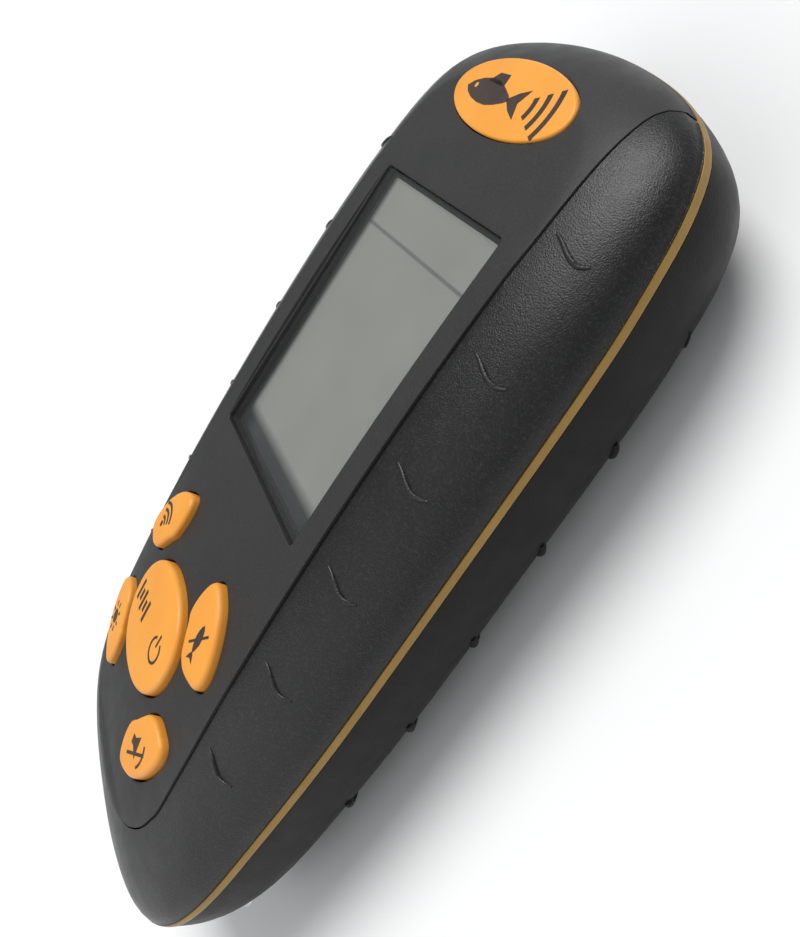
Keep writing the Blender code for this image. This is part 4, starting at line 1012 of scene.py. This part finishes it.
def ranged(nodes, links, value, low, high, from_low=0.3, from_high=0.7):
    made = nodes.new("ShaderNodeMapRange")
    made.inputs["From Min"].default_value = from_low
    made.inputs["From Max"].default_value = from_high
    made.inputs["To Min"].default_value = low
    made.inputs["To Max"].default_value = high
    links.new(value, made.inputs["Value"])
    return made.outputs["Result"]


def blended(nodes, links, share, one, two):
    made = nodes.new("ShaderNodeMix")
    made.data_type = "RGBA"
    made.inputs["A"].default_value = (*one, 1.0)
    made.inputs["B"].default_value = (*two, 1.0)
    links.new(share, made.inputs["Factor"])
    return made.outputs["Result"]


def bumped(nodes, links, shader, height, depth_mm, strength=1.0):
    made = nodes.new("ShaderNodeBump")
    made.inputs["Strength"].default_value = strength
    made.inputs["Distance"].default_value = depth_mm * MM
    links.new(height, made.inputs["Height"])
    links.new(made.outputs["Normal"], shader.inputs["Normal"])


def mixed(nodes, links, share, tint, other):
    """The tint socket blended towards one colour."""
    made = nodes.new("ShaderNodeMix")
    made.data_type = "RGBA"
    links.new(tint, made.inputs["A"])
    made.inputs["B"].default_value = (*other, 1.0)
    links.new(share, made.inputs["Factor"])
    return made.outputs["Result"]


def moulded(name, colour, other, roughness, grain_mm, depth_mm, patch_mm=14.0, spread=0.08, metallic=0.0,
            painted_glint=None, painted_glint_mm=0.3, shine=0.5):
    """Moulded plastic or paint: patchy colour, uneven gloss, a fine spark-eroded grain and pale flecks
    painted into the colour as glints of sparkle.
    """
    made, nodes, links, shader, where = tree_of(name)
    patches = noise(nodes, links, where, patch_mm, 3.0)
    tint = blended(nodes, links, ranged(nodes, links, patches, 0.0, 1.0), colour, other)
    # Painted glints: pale flecks in the base colour stand in for the sparkle of light on the grain.
    if painted_glint:
        specks = noise(nodes, links, where, painted_glint_mm, 3.0, 0.65)
        tint = mixed(nodes, links, ranged(nodes, links, specks, 0.0, 1.0, 0.5, 0.85), tint, painted_glint)
    links.new(tint, shader.inputs["Base Color"])
    gloss = noise(nodes, links, where, patch_mm * 0.35, 4.0)
    rough = ranged(nodes, links, gloss, roughness - spread, roughness + spread)
    links.new(rough, shader.inputs["Roughness"])
    shader.inputs["Metallic"].default_value = metallic
    shader.inputs["Specular IOR Level"].default_value = shine
    bumped(nodes, links, shader, noise(nodes, links, where, grain_mm, 2.0, 0.6), depth_mm)
    return made, shader


def make_looks():
    looks = {}
    # The pale fleck colours of the plate, grip and back are painted glints: sparkle put into the base
    # colour.
    looks["plate"], _ = moulded(
        "face_plastic", (0.0215, 0.0215, 0.021), (0.0255, 0.025, 0.0245), roughness=0.5, grain_mm=0.2,
        depth_mm=0.02, patch_mm=9.0, spread=0.05, painted_glint=(0.05, 0.05, 0.05), painted_glint_mm=0.25, shine=0.38)
    looks["grip"], _ = moulded(
        "grip_soft_touch", (0.0036, 0.0036, 0.0037), (0.0050, 0.0049, 0.0048), roughness=0.36, grain_mm=0.2,
        depth_mm=0.055, patch_mm=8.0, spread=0.04, painted_glint=(0.026, 0.026, 0.026), painted_glint_mm=0.4, shine=0.44)
    looks["back"], _ = moulded(
        "back_plastic", (0.0050, 0.0046, 0.0045), (0.0070, 0.0062, 0.0060), roughness=0.42, grain_mm=0.3,
        depth_mm=0.03, patch_mm=10.0, spread=0.05, painted_glint=(0.013, 0.012, 0.012), painted_glint_mm=0.3, shine=0.15)
    looks["gold"], _ = moulded(
        "gold_paint", (0.25, 0.145, 0.026), (0.30, 0.175, 0.036), roughness=0.45, grain_mm=0.3,
        depth_mm=0.01, patch_mm=6.0, spread=0.06, metallic=0.3)
    looks["orange"], orange = moulded(
        "orange_satin", (0.83, 0.325, 0.035), (0.88, 0.365, 0.045), roughness=0.45, grain_mm=0.35,
        depth_mm=0.008, patch_mm=9.0, spread=0.06)
    orange.inputs["Subsurface Weight"].default_value = 0.1
    orange.inputs["Subsurface Radius"].default_value = (0.003, 0.0012, 0.0005)
    orange.inputs["Subsurface Scale"].default_value = 0.3
    looks["ink"], _ = moulded(
        "printed_ink", (0.03, 0.018, 0.014), (0.05, 0.028, 0.02), roughness=0.5, grain_mm=0.3,
        depth_mm=0.004, patch_mm=3.0)
    looks["lens"], lens = moulded(
        "lens_plastic", (0.08, 0.085, 0.08), (0.10, 0.105, 0.10), roughness=0.09, grain_mm=1.2,
        depth_mm=0.0003, patch_mm=20.0, spread=0.02)
    lens.inputs["Alpha"].default_value = 0.22
    lens.inputs["IOR"].default_value = 1.5
    return looks


def line_mask(nodes, links, axis, at_mm, half_mm, soft_mm):
    """1 on a straight line across the glass at this distance along the axis socket, 0 away from it."""
    gap = nodes.new("ShaderNodeMath")
    gap.operation = "SUBTRACT"
    links.new(axis, gap.inputs[0])
    gap.inputs[1].default_value = at_mm * MM
    size = nodes.new("ShaderNodeMath")
    size.operation = "ABSOLUTE"
    links.new(gap.outputs["Value"], size.inputs[0])
    return ranged(nodes, links, size.outputs["Value"], 1.0, 0.0, half_mm * MM, (half_mm + soft_mm) * MM)


LCD_GREY = (0.50, 0.51, 0.47)
LCD_PALE = (0.55, 0.56, 0.515)
LCD_LINE = (0.10, 0.11, 0.11)
LCD_BORDER = (0.032, 0.040, 0.046)
LCD_DUST = (0.35, 0.37, 0.36)
RULED_LINE_Y = 13.8
LEFT_BORDER_X = -16.6
LOW_BORDER_Y = -20.6


def lcd_look():
    """Grey-green liquid crystal glass: soft patches, one ruled line, specks, dark left and lower edges."""
    made, nodes, links, shader, where = tree_of("liquid_crystal")
    patches = noise(nodes, links, where, 12.0, 3.0)
    tint = blended(nodes, links, ranged(nodes, links, patches, 0.0, 1.0), LCD_GREY, LCD_PALE)
    split = nodes.new("ShaderNodeSeparateXYZ")
    links.new(where, split.inputs["Vector"])
    across, along = split.outputs["X"], split.outputs["Y"]
    ruled = line_mask(nodes, links, along, ROW_Y + RULED_LINE_Y, 0.12, 0.25)
    tint = mixed(nodes, links, scaled(nodes, links, ruled, 0.6), tint, LCD_LINE)
    left = line_mask(nodes, links, across, LEFT_BORDER_X, 0.3, 1.4)
    tint = mixed(nodes, links, left, tint, LCD_BORDER)
    low_edge = line_mask(nodes, links, along, ROW_Y + LOW_BORDER_Y, 1.9, 1.8)
    tint = mixed(nodes, links, low_edge, tint, LCD_BORDER)
    specks = noise(nodes, links, where, 0.5, 4.0, 0.7)
    tint = mixed(nodes, links, ranged(nodes, links, specks, 0.0, 0.5, 0.62, 0.8), tint, LCD_DUST)
    links.new(tint, shader.inputs["Base Color"])
    shader.inputs["Roughness"].default_value = 0.35
    bumped(nodes, links, shader, noise(nodes, links, where, 0.35), 0.001, 0.3)
    return made


def scaled(nodes, links, value, factor):
    made = nodes.new("ShaderNodeMath")
    made.operation = "MULTIPLY"
    links.new(value, made.inputs[0])
    made.inputs[1].default_value = factor
    return made.outputs["Value"]


# Colour, second colour, roughness and metallic of each slot inside the case.
INNER = {
    "seal_black": ((0.012, 0.012, 0.012), (0.022, 0.022, 0.022), 0.9, 0.0),
    "light_guide": ((0.72, 0.73, 0.72), (0.82, 0.82, 0.80), 0.3, 0.0),
    "tray_plastic": ((0.42, 0.42, 0.40), (0.5, 0.5, 0.48), 0.5, 0.0),
    "mat_silicone": ((0.2, 0.2, 0.21), (0.27, 0.27, 0.28), 0.7, 0.0),
    "board_green": ((0.01, 0.12, 0.05), (0.02, 0.18, 0.08), 0.4, 0.0),
    "ribbon_amber": ((0.45, 0.22, 0.04), (0.6, 0.32, 0.07), 0.32, 0.0),
    "chip_black": ((0.015, 0.015, 0.017), (0.03, 0.03, 0.03), 0.5, 0.0),
    "ferrite_grey": ((0.05, 0.05, 0.05), (0.09, 0.09, 0.09), 0.6, 0.0),
    "plated_steel": ((0.5, 0.5, 0.52), (0.66, 0.66, 0.67), 0.28, 1.0),
    "contact_brass": ((0.62, 0.43, 0.16), (0.78, 0.56, 0.24), 0.3, 1.0),
    "cell_sleeve": ((0.05, 0.13, 0.33), (0.08, 0.19, 0.42), 0.3, 0.0),
}


def dress_frame_nodes():
    """Every CAD node that stays gets a detailed material for its slot."""
    made = {}
    for slot, (one, two, roughness, metallic) in INNER.items():
        made[slot], _ = moulded(
            f"inner_{slot}", one, two, roughness, grain_mm=0.25, depth_mm=0.01, patch_mm=6.0, spread=0.06,
            metallic=metallic)
    made["lcd_glass"] = lcd_look()
    for part in frame["record"]["subparts"]:
        node = frame["nodes"].get(part["node"])
        look = made.get(part["material_slot"])
        if node is not None and look is not None:
            node.data.materials.clear()
            node.data.materials.append(look)
            for face in node.data.polygons:
                face.material_index = 0


# ---------------------------------------------------------------- studio

CAMERA_AT = (102.47, 21.31, 53.78)
CAMERA_RIGHT = (0.3605, 0.532, -0.7662)
CAMERA_DOWN = (0.496, -0.805, -0.3256)
CAMERA_AHEAD = (-0.79, -0.2626, -0.554)
CAMERA_LENS = 34.8196
CAMERA_SENSOR = 36.0
FLOOR_HALF = 30.0
FLOOR_DROP = 0.0004
PAPER = (0.86, 0.86, 0.86)
PAPER_PALE = (0.88, 0.88, 0.88)
SKY = (0.95, 0.97, 1.0)
SKY_STRENGTH = 0.36
KEY_SOURCE = (-0.14, 0.52, 0.85)
FILL_SOURCE = (0.25, -0.85, 0.5)


def build_camera():
    data = bpy.data.cameras.new("camera")
    data.sensor_fit = "VERTICAL"
    data.sensor_height = CAMERA_SENSOR
    data.lens = CAMERA_LENS
    data.clip_start = 0.005
    data.clip_end = 100.0
    camera = linked("camera", data)
    right, up, back = Vector(CAMERA_RIGHT), -Vector(CAMERA_DOWN), -Vector(CAMERA_AHEAD)
    turn = Matrix((right, up, back)).transposed().to_4x4()
    camera.matrix_world = Matrix.Translation(place(*CAMERA_AT)) @ turn
    bpy.context.scene.camera = camera


def sun_light(name, source, strength, wide_degrees):
    """A broad even light that comes from the direction of source."""
    data = bpy.data.lights.new(name, "SUN")
    data.energy = strength
    data.angle = math.radians(wide_degrees)
    made = linked(name, data)
    made.rotation_mode = "QUATERNION"
    made.rotation_quaternion = Vector(source).to_track_quat("Z", "Y")


def build_studio():
    """A pale floor just under the case, even light from all round, a broad key light and a fill light."""
    size = FLOOR_HALF
    corners = [(-size, -size, 0), (size, -size, 0), (size, size, 0), (-size, size, 0)]
    mesh = bpy.data.meshes.new("studio_floor")
    mesh.from_pydata(corners, [], [(0, 1, 2, 3)])
    floor = linked("studio_floor", mesh)
    floor.location = (0.0, 0.0, -FLOOR_DROP)
    paper, _ = moulded(
        "studio_paper", PAPER, PAPER_PALE, roughness=0.9, grain_mm=3.0, depth_mm=0.02, patch_mm=400.0)
    floor.data.materials.append(paper)
    world = bpy.data.worlds.new("studio_world")
    bpy.context.scene.world = world
    world.use_nodes = True
    backdrop = world.node_tree.nodes["Background"]
    backdrop.inputs["Color"].default_value = (*SKY, 1.0)
    backdrop.inputs["Strength"].default_value = SKY_STRENGTH
    sun_light("key_light", KEY_SOURCE, strength=2.5, wide_degrees=38.0)
    sun_light("fill_light", FILL_SOURCE, strength=1.2, wide_degrees=90.0)
    bpy.context.scene.view_settings.view_transform = "Standard"


looks = make_looks()
dress_frame_nodes()
build_plate(looks)
build_grips(looks)
build_band(looks)
build_back(looks)
build_door(looks)
build_keys(looks)
build_badge(looks)
build_display(looks)
build_camera()
build_studio()
